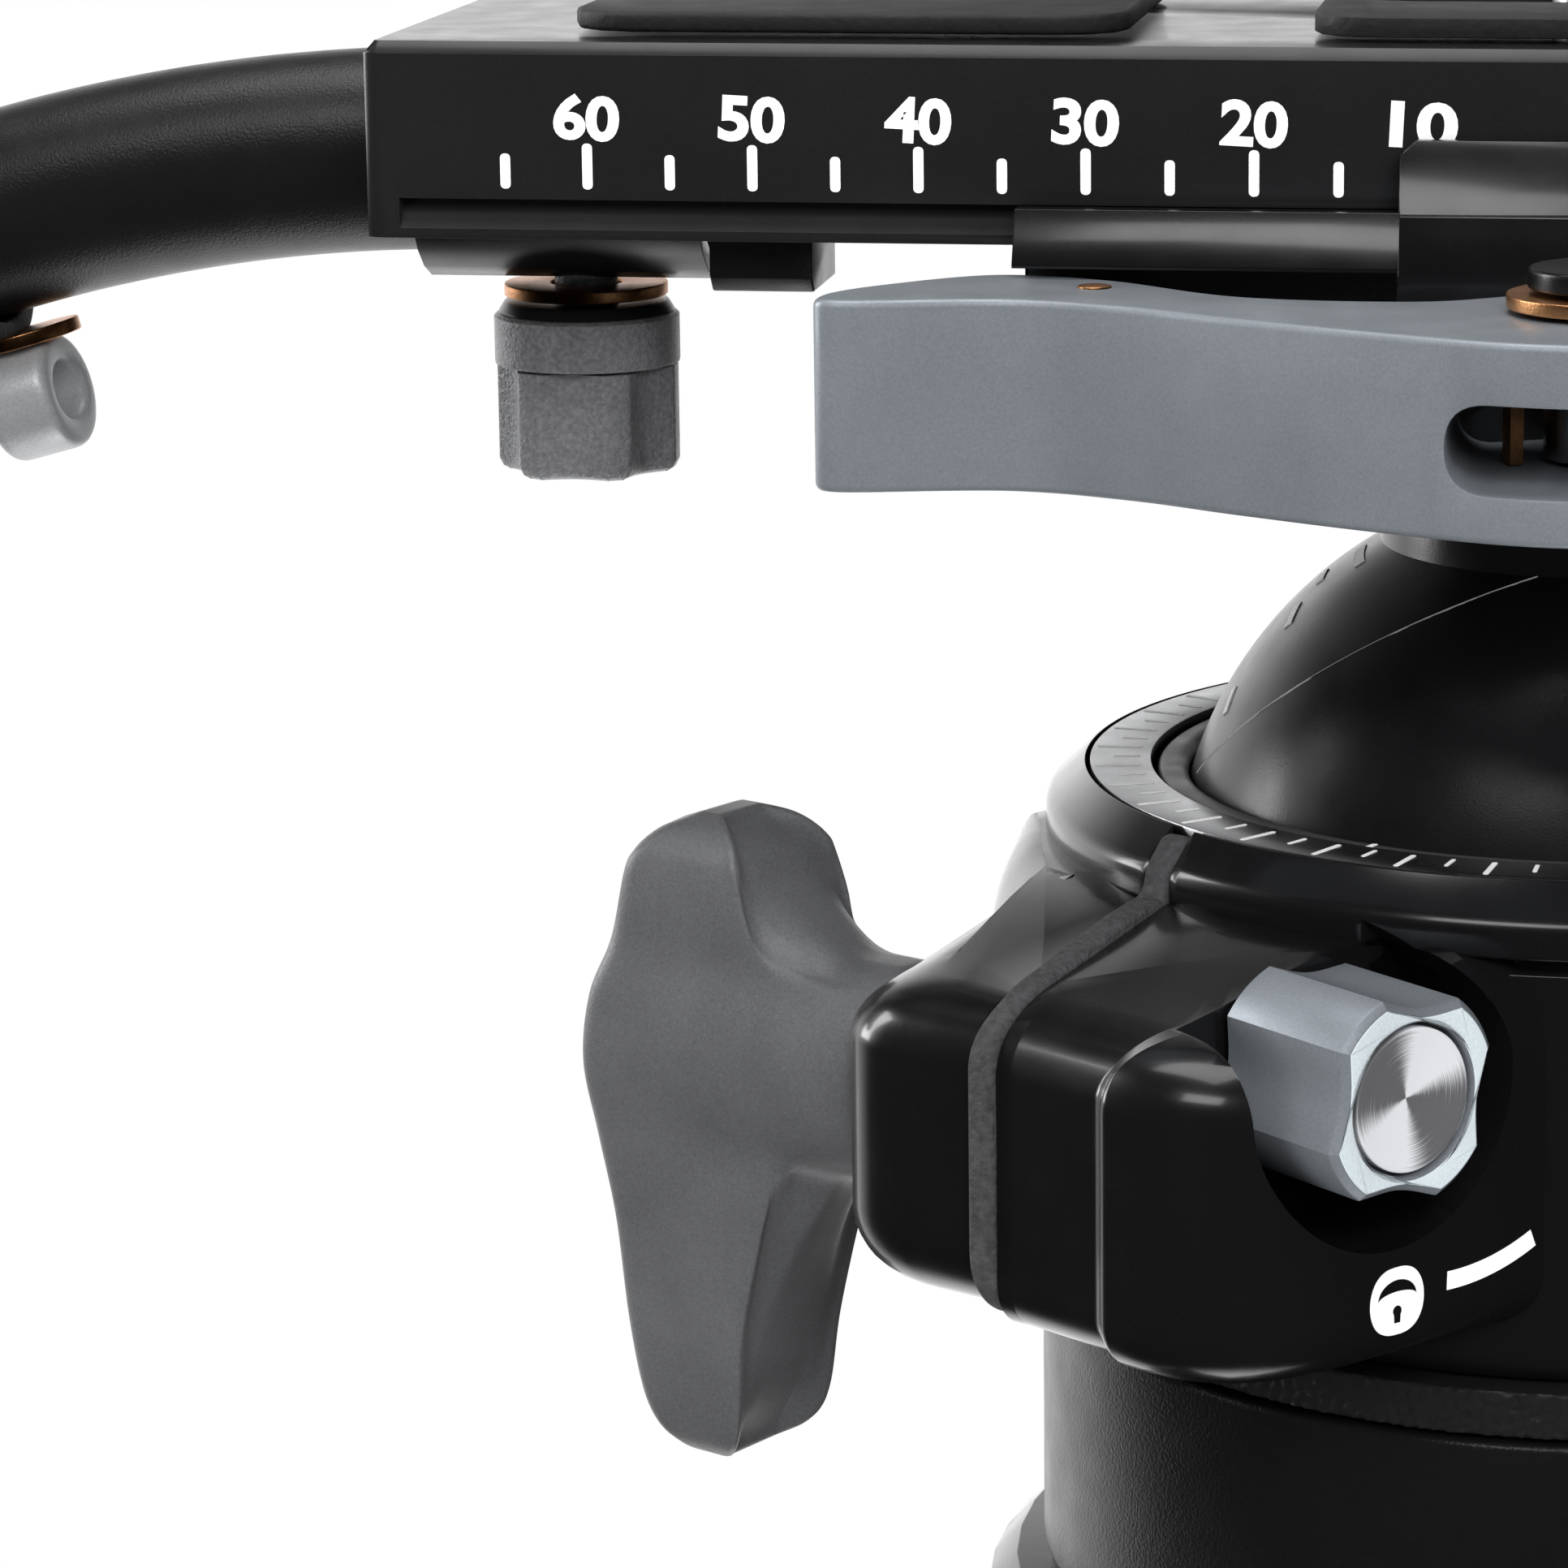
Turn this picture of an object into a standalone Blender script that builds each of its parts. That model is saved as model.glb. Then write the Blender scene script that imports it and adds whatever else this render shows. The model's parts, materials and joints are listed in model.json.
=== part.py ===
# Compact carbon fibre tripod with a panning ball head, a quick release rail and
# a telescopic pan handle. Metres, +Z up. The legs are retracted and stand at
# their first stop. The rail runs along X, the handle leaves it towards -X and
# the graduated side of the rail faces -Y.
import math

import bmesh
import bpy
from mathutils import Matrix, Vector

# Gaps between pieces
SEAT_GAP = 0.0003        # between pieces that rest on each other
RUN_GAP = 0.0004         # round pieces that turn or slide
CUT_OVER = 0.003         # how far a cut runs past the wall that it opens

# Facets round a full turn
FINE_SIDES = 48
TUBE_SIDES = 24
SMALL_SIDES = 16
SCALLOP_SHARE = 0.30        # half width of a scallop, as a share of a lobe

# Legs
LEG_COUNT = 3
LEG_FIRST_ANGLE = math.radians(90.0)
LEG_SPREAD = math.radians(23.0)
LEG_REACH = 0.400            # hinge pin to the centre of the foot's ball
LOWER_LOCK_RISE = 0.058      # centre of the foot's ball to the end of the middle tube
LOCK_PITCH = 0.042           # end of the middle tube to the end of the upper tube
PIVOT_RADIUS = 0.029         # head axis to a hinge pin
UPPER_TUBE_RADIUS = 0.0143
MIDDLE_TUBE_RADIUS = 0.0126
LOWER_TUBE_RADIUS = 0.0109
TUBE_WALL = 0.0012
UPPER_TUBE_START = 0.0263    # distances down the leg from the hinge pin
MIDDLE_TUBE_END = LEG_REACH - LOWER_LOCK_RISE
UPPER_TUBE_END = MIDDLE_TUBE_END - LOCK_PITCH
MIDDLE_TUBE_START = 0.060
LOWER_TUBE_START = 0.080
LOCK_GRIP = 0.009            # how far a twist lock reaches over its tube
LOCK_LENGTH = 0.034
LOCK_WALL = 0.0033
LOCK_CHAMFER = 0.0012
FOOT_BALL_RADIUS = 0.0135
FOOT_LENGTH = 0.028          # top of the foot to the centre of its ball
FOOT_SOCKET = 0.0144         # depth of the tube in the foot
FOOT_NECK_RADIUS = 0.0124

# Shoulder that carries a leg
TONGUE_WIDTH = 0.0230
TONGUE_RADIUS = 0.0095
COLLAR_RADIUS = 0.0175
COLLAR_START = 0.0200
COLLAR_END = 0.0460
COLLAR_CHAMFER = 0.0015
PIN_RADIUS = 0.0030
PIN_LENGTH = 0.0400

# Apex that joins the legs under the head
APEX_RADIUS = 0.0385
APEX_HEIGHT = 0.0320
APEX_CHAMFER = 0.0018
APEX_ROOF = 0.0050           # metal left over each leg slot
APEX_CORE_RADIUS = 0.0170
SCREW_RADIUS = 0.0046
SCREW_HEAD_RADIUS = 0.0095
SCREW_HEAD_HEIGHT = 0.0045

# Round base of the head
COLUMN_RADIUS = 0.0349
COLUMN_DROP = 0.0527         # ring plane to the bottom of the column
COLUMN_CHAMFER = 0.0012
COLUMN_TOP_DROP = 0.0334
TEXTURED_RING_RADIUS = 0.0346
TEXTURED_RING_HEIGHT = 0.0028
WELL_RADIUS = 0.0293         # round space that holds the panning sleeve
WELL_DROP = 0.0420
BEARING_HEIGHT = 0.0013
BEARING_RADIUS = 0.0270
BEARING_BORE = 0.0080

# Clamp housing round the ball, split by a seam
HOUSING_RADIUS = 0.0340
HOUSING_DROP = 0.0303
HOUSING_CHAMFER = 0.0016
FLANGE_RADIUS = 0.0346
FLANGE_CHAMFER = 0.0022
FLANGE_DROP = 0.0042
GROOVE_DEPTH = 0.0010
GROOVE_HEIGHT = 0.0010
RING_SEAT_DROP = 0.0022
WING_ANGLE = math.radians(150.0)     # direction of the wing screw, seen from above
LUG_ANGLE = WING_ANGLE + math.radians(90.0)
SEAM_OFFSET = 0.0100                 # head axis to the middle of the seam
GASKET_THICKNESS = 0.0020
GASKET_PROUD = 0.0004
LUG_REACH = 0.0505
LUG_ROOT = 0.0200
LUG_TOP_DROP = 0.0039
SIDE_LUG_BOTTOM_DROP = 0.0251
FRONT_LUG_BOTTOM_DROP = 0.0258
LUG_TOP_ROUND = 0.0052
LUG_BOTTOM_ROUND = 0.0056
ROUNDING_SHARES = ((0, 0.80), (0.22, 0.42), (0.55, 0.14), (1, 0))
SIDE_LUG_END = 0.0225
LUG_CORNER = 0.0062
FACE_CORNER = 0.0112
# Flare of the side lug: shares of the way from its end to the housing's radius, and
# of the lug's reach
SIDE_FLARE_SHARES = ((0.9130, 0.2376), (0.7652, 0.3861), (0.4957, 0.5149), (0.1826, 0.5980), (0, 0.6455))
LUG_STEP = 0.0010
STEP_PLACE_SHARE = 0.40
FACE_ANGLE = math.radians(-45.0)     # direction of the star knob and the flat face
FACE_OFFSET = 0.0228
FACE_LEFT = 0.0485
FACE_RIGHT = 0.0200
LUG_BACK = 0.0120

# Wing knob and its screw
WING_AXIS_SHARE = 0.792      # wing screw's place on the lug, as a share of its reach
WING_AXIS_OFFSET = LUG_REACH * WING_AXIS_SHARE
WING_AXIS_DROP = 0.0153
WING_SCREW_RADIUS = 0.0030
WING_SCREW_START = 0.0020
WING_HUB_RADIUS = 0.0069
WING_HUB_END = 0.0370
WING_HUB_CHAMFER = 0.0006
WING_INNER = 0.0325
WING_THICKNESS = 0.0110
WING_HALF_WIDTH = 0.0054
WING_UP = 0.0146
WING_DOWN = 0.0268
# Sections of each arm: share of its height, shifts of its inner and its outer side
# as shares of the thickness, and its share of the half width
UPPER_WING_SHARES = (
    (1.00, 0.345, -0.418, 0.36), (0.96, 0.182, -0.273, 0.64), (0.88, 0.073, -0.164, 0.84),
    (0.78, 0.036, -0.109, 0.92), (0.45, -0.109, -0.018, 0.98), (0.20, -0.327, 0.145, 1.05))
LOWER_WING_SHARES = (
    (0.06, -0.364, 0.182, 1.08), (0.24, -0.309, 0.109, 1.02), (0.44, -0.091, 0, 0.98),
    (0.70, 0.073, -0.073, 0.94), (0.90, 0.118, -0.155, 0.86), (0.97, 0.200, -0.273, 0.68),
    (1.00, 0.345, -0.418, 0.40))

# Star knob in its round pocket, which breaks out of the rounded corner beside it
STAR_INSET = 0.01145         # star knob's axis from the flat face's left end
STAR_SIDE_OFFSET = FACE_LEFT - STAR_INSET
STAR_DROP = 0.0100
STAR_RADIUS = 0.0064
STAR_LOBES = 4
STAR_TURN = math.radians(37.0)       # how far the lobes are turned from the diagonals
STAR_LOBE_DEPTH = 0.0011
STAR_FLOOR = 0.0139
STAR_LENGTH = 0.0104
STAR_CHAMFER = 0.0005
DISC_RADIUS = 0.0042
DISC_DEPTH = 0.0010
# Section of the disc: shares of its radius and of its depth
DISC_SHARES = ((0, 0), (1, 0), (1, 0.80), (0.92, 0.80), (0.50, 0.45), (0, 0.30))
POCKET_RADIUS = 0.0092
SPINDLE_RADIUS = 0.0020
SPINDLE_LENGTH = 0.0070

# Ball and what carries it
BALL_RADIUS = 0.0265
BALL_DROP = 0.0087           # ring plane to the middle of the ball
NECK_RADIUS = 0.0130
NECK_FLANGE_RADIUS = 0.0170
NECK_FLANGE_HEIGHT = 0.0022
CUP_WALL = 0.0022
CUP_SPREAD = math.radians(28.0)
BALL_CLEARANCE = 0.0005
SLEEVE_RADIUS = 0.0286
SLEEVE_WALL = 0.0014
SLEEVE_DROP = 0.0402
SLEEVE_TOP_DROP = 0.0046
DUST_RING_RADIUS = 0.0275
DUST_RING_BORE = 0.0254
DUST_RING_HEIGHT = 0.0042
DUST_RING_LOWER_BORE = 0.0265
SCALE_RING_OUTER = 0.0318
SCALE_RING_INNER = 0.0279
SCALE_RING_HEIGHT = 0.0019

# Rail with its dovetail
RAIL_RISE = 0.0348           # ring plane to the underside of the rail
RAIL_LENGTH = 0.1475
RAIL_WIDTH = 0.0380
RAIL_HEIGHT = 0.0118
RAIL_LIP = 0.0006
DOVETAIL_DEPTH = 0.0018
DOVETAIL_STOP = 0.0022       # solid metal left at each end of the dovetail
RAIL_CORNER = 0.0010
RAIL_TOP_CHAMFER = 0.0007
PAD_HEIGHT = 0.0012
PAD_WIDTH = 0.0300
PAD_PITCH_SHARE = 0.3058     # between two pads, as a share of the rail's length
PAD_LENGTH = 0.0340
PAD_CORNER = 0.0040
SLOT_LENGTH = 0.0300         # long hole for the camera screw
SLOT_WIDTH = 0.0068
ROUND_END_SHARE = 0.98
CAMERA_THREAD_RADIUS = 0.0031
CAMERA_THREAD_RISE = 0.0050
CAMERA_THREAD_CHAMFER = 0.00078
CAMERA_HEAD_RADIUS = 0.0075
CAMERA_HEAD_HEIGHT = 0.0026
RAIL_UNDERCUT_DEPTH = 0.0035
RAIL_UNDERCUT_WIDTH = 0.0168
RAIL_UNDERCUT_LENGTH = 0.0450

# Clamp under the rail
CLAMP_LENGTH = 0.0680
CLAMP_FRONT = 0.0165
CLAMP_BACK = 0.0240
CLAMP_THICKNESS = 0.0121
CLAMP_EDGE = 0.0010
JAW_RISE = 0.0036
NOSE_TOP = 0.00205
NOSE_TIP = 0.0180
JAW_FACE = 0.0195
NOSE_ROOT = 0.0009
BLOCK_LENGTH = 0.0226
BLOCK_RISE = 0.0066
BLOCK_SLOPE_RISE = 0.0014
BLOCK_TOP_FRONT = 0.0202
BLOCK_FRONT = 0.0232
BLOCK_DROP = 0.0115
PLATE_FRONT = 0.0227
PLATE_DROP = 0.0009
PLATE_RISE = 0.0024
JAW_TRAVEL = 0.0015
ROD_RADIUS = 0.0020
ROD_BACK = 0.0040
ROD_EYE_RADIUS = 0.0034
ROD_EYE_HEIGHT = 0.0044

# Clamp lever
LEVER_PIVOT_X = 0.0010
LEVER_PIVOT_Y = -0.0335
LEVER_TOP_DROP = 0.0015
LEVER_HEIGHT = 0.0112
LEVER_BOSS_RADIUS = 0.0090
LEVER_EDGE = 0.0004
LEVER_SLOT_START = 0.0085    # how far left of the pivot the slot begins
LEVER_SLOT_HEIGHT = 0.0050
LEVER_SLOT_DROP = 0.0060
LEVER_REACH = 0.0452         # pivot to the lever's tip
# Outline of the lever from its tip round the boss: shares of its reach, then of the
# boss radius along X and along Y
LEVER_OUTLINE_SHARES = (
    (-1.00, 0, 0.367), (-0.97, 0, 0.073), (-0.76, 0, 0.227), (-0.60, 0, -0.04),
    (-0.45, 0, -0.50), (-0.28, 0, -0.98), (-0.11, 0, -1.36), (0, 0.12, -1.38),
    (0, 0.72, -0.90), (0, 0.94, -0.20), (0, 0.82, 0.52), (0, 0.20, 0.97),
    (0, -0.55, 0.76), (0, -1.20, 0.42), (-0.46, 0, 0.52), (-0.64, 0, 1.20),
    (-0.80, 0, 1.42), (-0.94, 0, 0.86))
PIVOT_PIN_RADIUS = 0.0022
PIVOT_HEAD_RADIUS = 0.0044
PIVOT_HEAD_HEIGHT = 0.0012
LEVER_WASHER_RADIUS = 0.0056
LEVER_WASHER_HEIGHT = 0.0008

# Handle tube, its socket and its lock knob
HANDLE_RADIUS = 0.00645
HANDLE_RISE = 0.0033         # underside of the rail to the tube's centre line
HANDLE_INSET = 0.0170        # length of the tube inside the rail
HANDLE_BEND_INSET = 0.00175  # rail's end to the start of the bend
HANDLE_STRAIGHT_END = -RAIL_LENGTH / 2 + HANDLE_BEND_INSET
HANDLE_BEND_RADIUS = 0.106
HANDLE_SLOPE = math.radians(15.9)
HANDLE_TAIL = 0.0420         # straight length after the bend
HANDLE_BEND_STEPS = 7
SOCKET_WALL = 0.0017
SOCKET_LENGTH = 0.0182
LOCK_KNOB_INSET = 0.00955    # rail's end to the knob's axis
LOCK_KNOB_X = -RAIL_LENGTH / 2 + LOCK_KNOB_INSET
LOCK_WASHER_RADIUS = 0.0052
LOCK_WASHER_HEIGHT = 0.0008
LOCK_KNOB_RADIUS = 0.0059
LOCK_KNOB_LENGTH = 0.0110
LOCK_KNOB_LOBES = 6
LOCK_KNOB_LOBE_DEPTH = 0.0009
LOCK_KNOB_PLAIN = 0.0040
LOCK_KNOB_CHAMFER = 0.0007
LOCK_SCREW_RADIUS = 0.0020
STOP_BLOCK_INSET = 0.02345   # rail's end to the middle of the block
STOP_BLOCK_CENTRE = -RAIL_LENGTH / 2 + STOP_BLOCK_INSET
STOP_BLOCK_LENGTH = 0.0063
STOP_BLOCK_DEPTH = 0.0090
STOP_BLOCK_HEIGHT = 0.0034
STOP_BLOCK_FRONT = -0.0150
STOP_BLOCK_CHAMFER = 0.0010

# Telescopic grip on the end of the handle
GRIP_RADIUS = 0.0086
GRIP_LENGTH = 0.0620
GRIP_MOUTH = 0.0030          # grip's mouth, measured from the end of the bend
GRIP_COLLAR_LENGTH = 0.0090
GRIP_WAIST = 0.0074
GRIP_STEP = 0.0012           # end of the collar to the start of the waist
GRIP_WAIST_END = 0.0048
GRIP_FLARE_END = 0.0096
GRIP_END_ROUND = 0.0030
CAM_RADIUS = 0.0062
CAM_THICKNESS = 0.0052
CAM_HOLE = 0.0030
CAM_WIDTH_SHARE = 0.90
CAM_EDGE = 0.0010
CAM_LENGTH = 0.0085
CAM_WASHER_RADIUS = 0.0040
CAM_WASHER_HEIGHT = 0.0009
CAM_PLACE = -0.0008          # cam axis, measured from the grip's mouth
CAM_SEAT_RADIUS = 0.0074     # flat under the cam, from the tube's centre line

# Heights worked out from the sizes above
HINGE_Z = FOOT_BALL_RADIUS + LEG_REACH * math.cos(LEG_SPREAD)
APEX_TOP = HINGE_Z + APEX_HEIGHT / 2
APEX_BOTTOM = HINGE_Z - APEX_HEIGHT / 2
RING_Z = APEX_TOP + SEAT_GAP + COLUMN_DROP
RAIL_Z = RING_Z + RAIL_RISE
BALL_Z = RING_Z - BALL_DROP

WING_DIRECTION = Vector((math.cos(WING_ANGLE), math.sin(WING_ANGLE)))
LUG_DIRECTION = Vector((math.cos(LUG_ANGLE), math.sin(LUG_ANGLE)))
FACE_DIRECTION = Vector((math.cos(FACE_ANGLE), math.sin(FACE_ANGLE)))
FACE_SIDE = Vector((FACE_DIRECTION.y, -FACE_DIRECTION.x))

# Finishes: colour, roughness and metallic value
FINISHES = {
    "black_anodised": ((0.020, 0.020, 0.022), 0.30, 0.6),
    "satin_black": ((0.024, 0.024, 0.026), 0.42, 0.4),
    "powder_black": ((0.030, 0.030, 0.032), 0.60, 0.0),
    "blue_grey_anodised": ((0.260, 0.290, 0.320), 0.38, 0.9),
    "dark_grey_satin": ((0.110, 0.112, 0.118), 0.48, 0.7),
    "copper": ((0.720, 0.380, 0.180), 0.35, 1.0),
    "steel": ((0.450, 0.450, 0.460), 0.32, 1.0),
    "rubber": ((0.018, 0.018, 0.018), 0.85, 0.0),
    "carbon": ((0.035, 0.036, 0.040), 0.35, 0.2),
    "grey_acetal": ((0.300, 0.300, 0.300), 0.55, 0.0),
}


def start_empty():
    """Remove whatever the scene holds."""
    for thing in list(bpy.data.objects):
        bpy.data.objects.remove(thing, do_unlink=True)


def finish(name):
    """A Principled material for one of the finishes."""
    material = bpy.data.materials.get(name)
    if material is None:
        colour, roughness, metallic = FINISHES[name]
        material = bpy.data.materials.new(name)
        material.use_nodes = True
        shader = material.node_tree.nodes["Principled BSDF"]
        shader.inputs["Base Color"].default_value = (*colour, 1.0)
        shader.inputs["Roughness"].default_value = roughness
        shader.inputs["Metallic"].default_value = metallic
    return material


def node(name, solid, finish_name, pivot=(0, 0, 0)):
    """Make a named object of a solid, with its origin on the pivot."""
    pivot = Vector(pivot)
    bmesh.ops.translate(solid, verts=solid.verts, vec=-pivot)
    bmesh.ops.recalc_face_normals(solid, faces=solid.faces)
    mesh = bpy.data.meshes.new(name)
    solid.to_mesh(mesh)
    solid.free()
    mesh.shade_smooth()
    mesh.set_sharp_from_angle(angle=math.radians(32))
    mesh.materials.append(finish(finish_name))
    thing = bpy.data.objects.new(name, mesh)
    thing.location = pivot
    bpy.context.collection.objects.link(thing)
    return thing


def moved(solid, matrix):
    """The same solid, placed by a matrix."""
    bmesh.ops.transform(solid, matrix=matrix, verts=solid.verts)
    return solid


def combine(solid, tool, operation):
    """Join, cut or intersect two solids."""
    pair = []
    for each in (solid, tool):
        bmesh.ops.recalc_face_normals(each, faces=each.faces)
        mesh = bpy.data.meshes.new("working_mesh")
        each.to_mesh(mesh)
        each.free()
        thing = bpy.data.objects.new("working_piece", mesh)
        bpy.context.collection.objects.link(thing)
        pair.append(thing)
    modifier = pair[0].modifiers.new("combine", "BOOLEAN")
    modifier.operation = operation
    modifier.object = pair[1]
    bpy.context.view_layer.update()
    evaluated = pair[0].evaluated_get(bpy.context.evaluated_depsgraph_get())
    result = bmesh.new()
    result.from_mesh(evaluated.to_mesh())
    evaluated.to_mesh_clear()
    for thing in pair:
        mesh = thing.data
        bpy.data.objects.remove(thing, do_unlink=True)
        bpy.data.meshes.remove(mesh)
    bmesh.ops.remove_doubles(result, verts=result.verts, dist=SEAT_GAP / 100)
    return result


def join(solid, *tools):
    for tool in tools:
        solid = combine(solid, tool, "UNION")
    return solid


def cut(solid, *tools):
    for tool in tools:
        solid = combine(solid, tool, "DIFFERENCE")
    return solid


def lathe(profile, sides, closed_loop=False):
    """Turn (radius, height) points about +Z. A loop makes a ring with a bore."""
    solid = bmesh.new()
    rows = []
    for radius, height in profile:
        if radius == 0:
            rows.append([solid.verts.new((0, 0, height))])
            continue
        rows.append([
            solid.verts.new((radius * math.cos(turn), radius * math.sin(turn), height))
            for turn in (2 * math.pi * step / sides for step in range(sides))
        ])
    if closed_loop:
        rows.append(rows[0])
    for low, high in zip(rows, rows[1:]):
        for step in range(sides):
            after = (step + 1) % sides
            corners = [low[step % len(low)], low[after % len(low)],
                       high[after % len(high)], high[step % len(high)]]
            face = list(dict.fromkeys(corners))
            if len(face) > 2:
                solid.faces.new(face)
    if not closed_loop:
        for row in (rows[0], rows[-1]):
            if len(row) > 1:
                solid.faces.new(row)
    bmesh.ops.recalc_face_normals(solid, faces=solid.faces)
    return solid


def cylinder(radius, low, high, sides, chamfer=0.0):
    """Round bar along Z, with a chamfer at both ends if one is given."""
    if chamfer:
        return lathe([(radius - chamfer, low), (radius, low + chamfer),
                      (radius, high - chamfer), (radius - chamfer, high)], sides)
    return lathe([(radius, low), (radius, high)], sides)


def ring(inner, outer, low, high, sides, chamfer=0.0):
    """Plain ring along Z, with a chamfer round its outer edges if one is given."""
    if chamfer:
        profile = [(inner, low), (outer - chamfer, low), (outer, low + chamfer),
                   (outer, high - chamfer), (outer - chamfer, high), (inner, high)]
    else:
        profile = [(inner, low), (outer, low), (outer, high), (inner, high)]
    return lathe(profile, sides, closed_loop=True)


def prism(outline, low, high):
    """Raise a flat outline from one height to another."""
    solid = bmesh.new()
    bottom = [solid.verts.new((point[0], point[1], low)) for point in outline]
    top = [solid.verts.new((point[0], point[1], high)) for point in outline]
    solid.faces.new(bottom)
    solid.faces.new(top)
    for step in range(len(outline)):
        after = (step + 1) % len(outline)
        solid.faces.new([bottom[step], bottom[after], top[after], top[step]])
    bmesh.ops.recalc_face_normals(solid, faces=solid.faces)
    return solid


def block(x_low, x_high, y_low, y_high, z_low, z_high):
    """Box between two corners."""
    outline = [(x_low, y_low), (x_high, y_low), (x_high, y_high), (x_low, y_high)]
    return prism(outline, z_low, z_high)


def soften(solid, width, steps, chosen):
    """Bevel the edges for which chosen(edge) is true."""
    edges = [edge for edge in solid.edges if chosen(edge)]
    bmesh.ops.bevel(solid, geom=edges, offset=width, segments=steps,
                    affect="EDGES", profile=0.5, clamp_overlap=True)
    return solid


def at_height(height):
    """Chooser for the edges that lie at one height."""
    def chosen(edge):
        return all(abs(vert.co.z - height) < SEAT_GAP / 10 for vert in edge.verts)
    return chosen


def rounded(points, radii, steps):
    """Outline with its corners rounded by arcs. A radius of zero stays sharp."""
    outline = []
    count = len(points)
    for index, (corner, radius) in enumerate(zip(points, radii)):
        corner = Vector(corner)
        before = (Vector(points[index - 1]) - corner).normalized()
        after = (Vector(points[(index + 1) % count]) - corner).normalized()
        if radius == 0:
            outline.append(corner)
            continue
        half = before.angle(after) / 2
        run = radius / math.tan(half)
        centre = corner + (before + after).normalized() * radius / math.sin(half)
        first = corner + before * run - centre
        turn = first.angle_signed(corner + after * run - centre)
        for step in range(steps + 1):
            arm = first.copy()
            arm.rotate(Matrix.Rotation(-turn * step / steps, 2))
            outline.append(centre + arm)
    return outline


def smooth_outline(points, steps):
    """Closed curve through points, by Catmull-Rom spans."""
    outline = []
    count = len(points)
    for index in range(count):
        a, b, c, d = (Vector(points[(index + shift) % count]) for shift in (-1, 0, 1, 2))
        for step in range(steps):
            t = step / steps
            outline.append(0.5 * ((2 * b) + (c - a) * t + (2 * a - 5 * b + 4 * c - d) * t ** 2
                                  + (3 * b - a - 3 * c + d) * t ** 3))
    return outline


def lobed(radius, depth, lobes, sides):
    """Round outline with a shallow scallop between each two lobes."""
    outline = []
    for step in range(sides):
        turn = 2 * math.pi * step / sides
        phase = (lobes * step / sides) % 1 - 0.5
        scallop = depth * max(0, 1 - (phase / SCALLOP_SHARE) ** 2)
        reach = radius - scallop
        outline.append((reach * math.cos(turn), reach * math.sin(turn)))
    return outline


def facing(direction, height, place=(0, 0)):
    """Matrix that turns +Z into a level direction, with +X left pointing up."""
    along = Vector((direction[0], direction[1], 0)).normalized()
    up = Vector((0, 0, 1))
    side = along.cross(up)
    turn = Matrix((up, side, along)).transposed().to_4x4()
    return Matrix.Translation((place[0], place[1], height)) @ turn


def swept(points, radius, sides):
    """Round bar that follows points in the XZ plane."""
    solid = bmesh.new()
    rows = []
    for index, point in enumerate(points):
        before = Vector(points[max(index - 1, 0)])
        after = Vector(points[min(index + 1, len(points) - 1)])
        along = (after - before).normalized()
        side = Vector((0, 1, 0))
        up = side.cross(along)
        rows.append([
            solid.verts.new(Vector(point) + radius * (side * math.cos(turn) + up * math.sin(turn)))
            for turn in (2 * math.pi * step / sides for step in range(sides))
        ])
    for low, high in zip(rows, rows[1:]):
        for step in range(sides):
            after = (step + 1) % sides
            solid.faces.new([low[step], low[after], high[after], high[step]])
    solid.faces.new(rows[0])
    solid.faces.new(rows[-1])
    bmesh.ops.recalc_face_normals(solid, faces=solid.faces)
    return solid


# Places on the head, seen from above

def lug_point(along_wing, along_lug):
    """Point by its distances along the wing screw and towards the lug."""
    return WING_DIRECTION * along_wing + LUG_DIRECTION * along_lug


def face_point(outward, sideways):
    """Point by its distances in front of the flat face's axis and to its left."""
    return FACE_DIRECTION * outward + FACE_SIDE * sideways


def wing_matrix(distance):
    """Frame on the wing screw, its +Z outwards."""
    return facing(WING_DIRECTION, RING_Z - WING_AXIS_DROP,
                  lug_point(distance, WING_AXIS_OFFSET))


def star_matrix(distance):
    """Frame on the star knob's axis, its +Z outwards."""
    return facing(FACE_DIRECTION, RING_Z - STAR_DROP,
                  face_point(distance, STAR_SIDE_OFFSET))


# Legs

def leg_frame(number):
    """Frame of one leg: origin on its hinge pin, the leg along -Z."""
    around = LEG_FIRST_ANGLE + 2 * math.pi * number / LEG_COUNT
    return (Matrix.Rotation(around, 4, "Z")
            @ Matrix.Translation((PIVOT_RADIUS, 0, HINGE_Z))
            @ Matrix.Rotation(-LEG_SPREAD, 4, "Y"))


def leg_tube(radius, start, end):
    return ring(radius - TUBE_WALL, radius, -end, -start, TUBE_SIDES)


def shoulder():
    """Tongue on the hinge pin, with a round socket for the upper tube."""
    tongue = block(-TONGUE_RADIUS, TONGUE_RADIUS, -TONGUE_WIDTH / 2, TONGUE_WIDTH / 2,
                   -COLLAR_START - COLLAR_CHAMFER * 2, 0)
    head = moved(cylinder(TONGUE_RADIUS, -TONGUE_WIDTH / 2, TONGUE_WIDTH / 2, TUBE_SIDES),
                 Matrix.Rotation(math.pi / 2, 4, "X"))
    collar = cylinder(COLLAR_RADIUS, -COLLAR_END, -COLLAR_START, TUBE_SIDES, COLLAR_CHAMFER)
    solid = join(tongue, head, collar)
    hole = moved(cylinder(PIN_RADIUS + RUN_GAP, -TONGUE_WIDTH, TONGUE_WIDTH, SMALL_SIDES),
                 Matrix.Rotation(math.pi / 2, 4, "X"))
    socket = cylinder(UPPER_TUBE_RADIUS + SEAT_GAP, -COLLAR_END - CUT_OVER,
                      -UPPER_TUBE_START + SEAT_GAP, TUBE_SIDES)
    return cut(solid, hole, socket)


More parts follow.
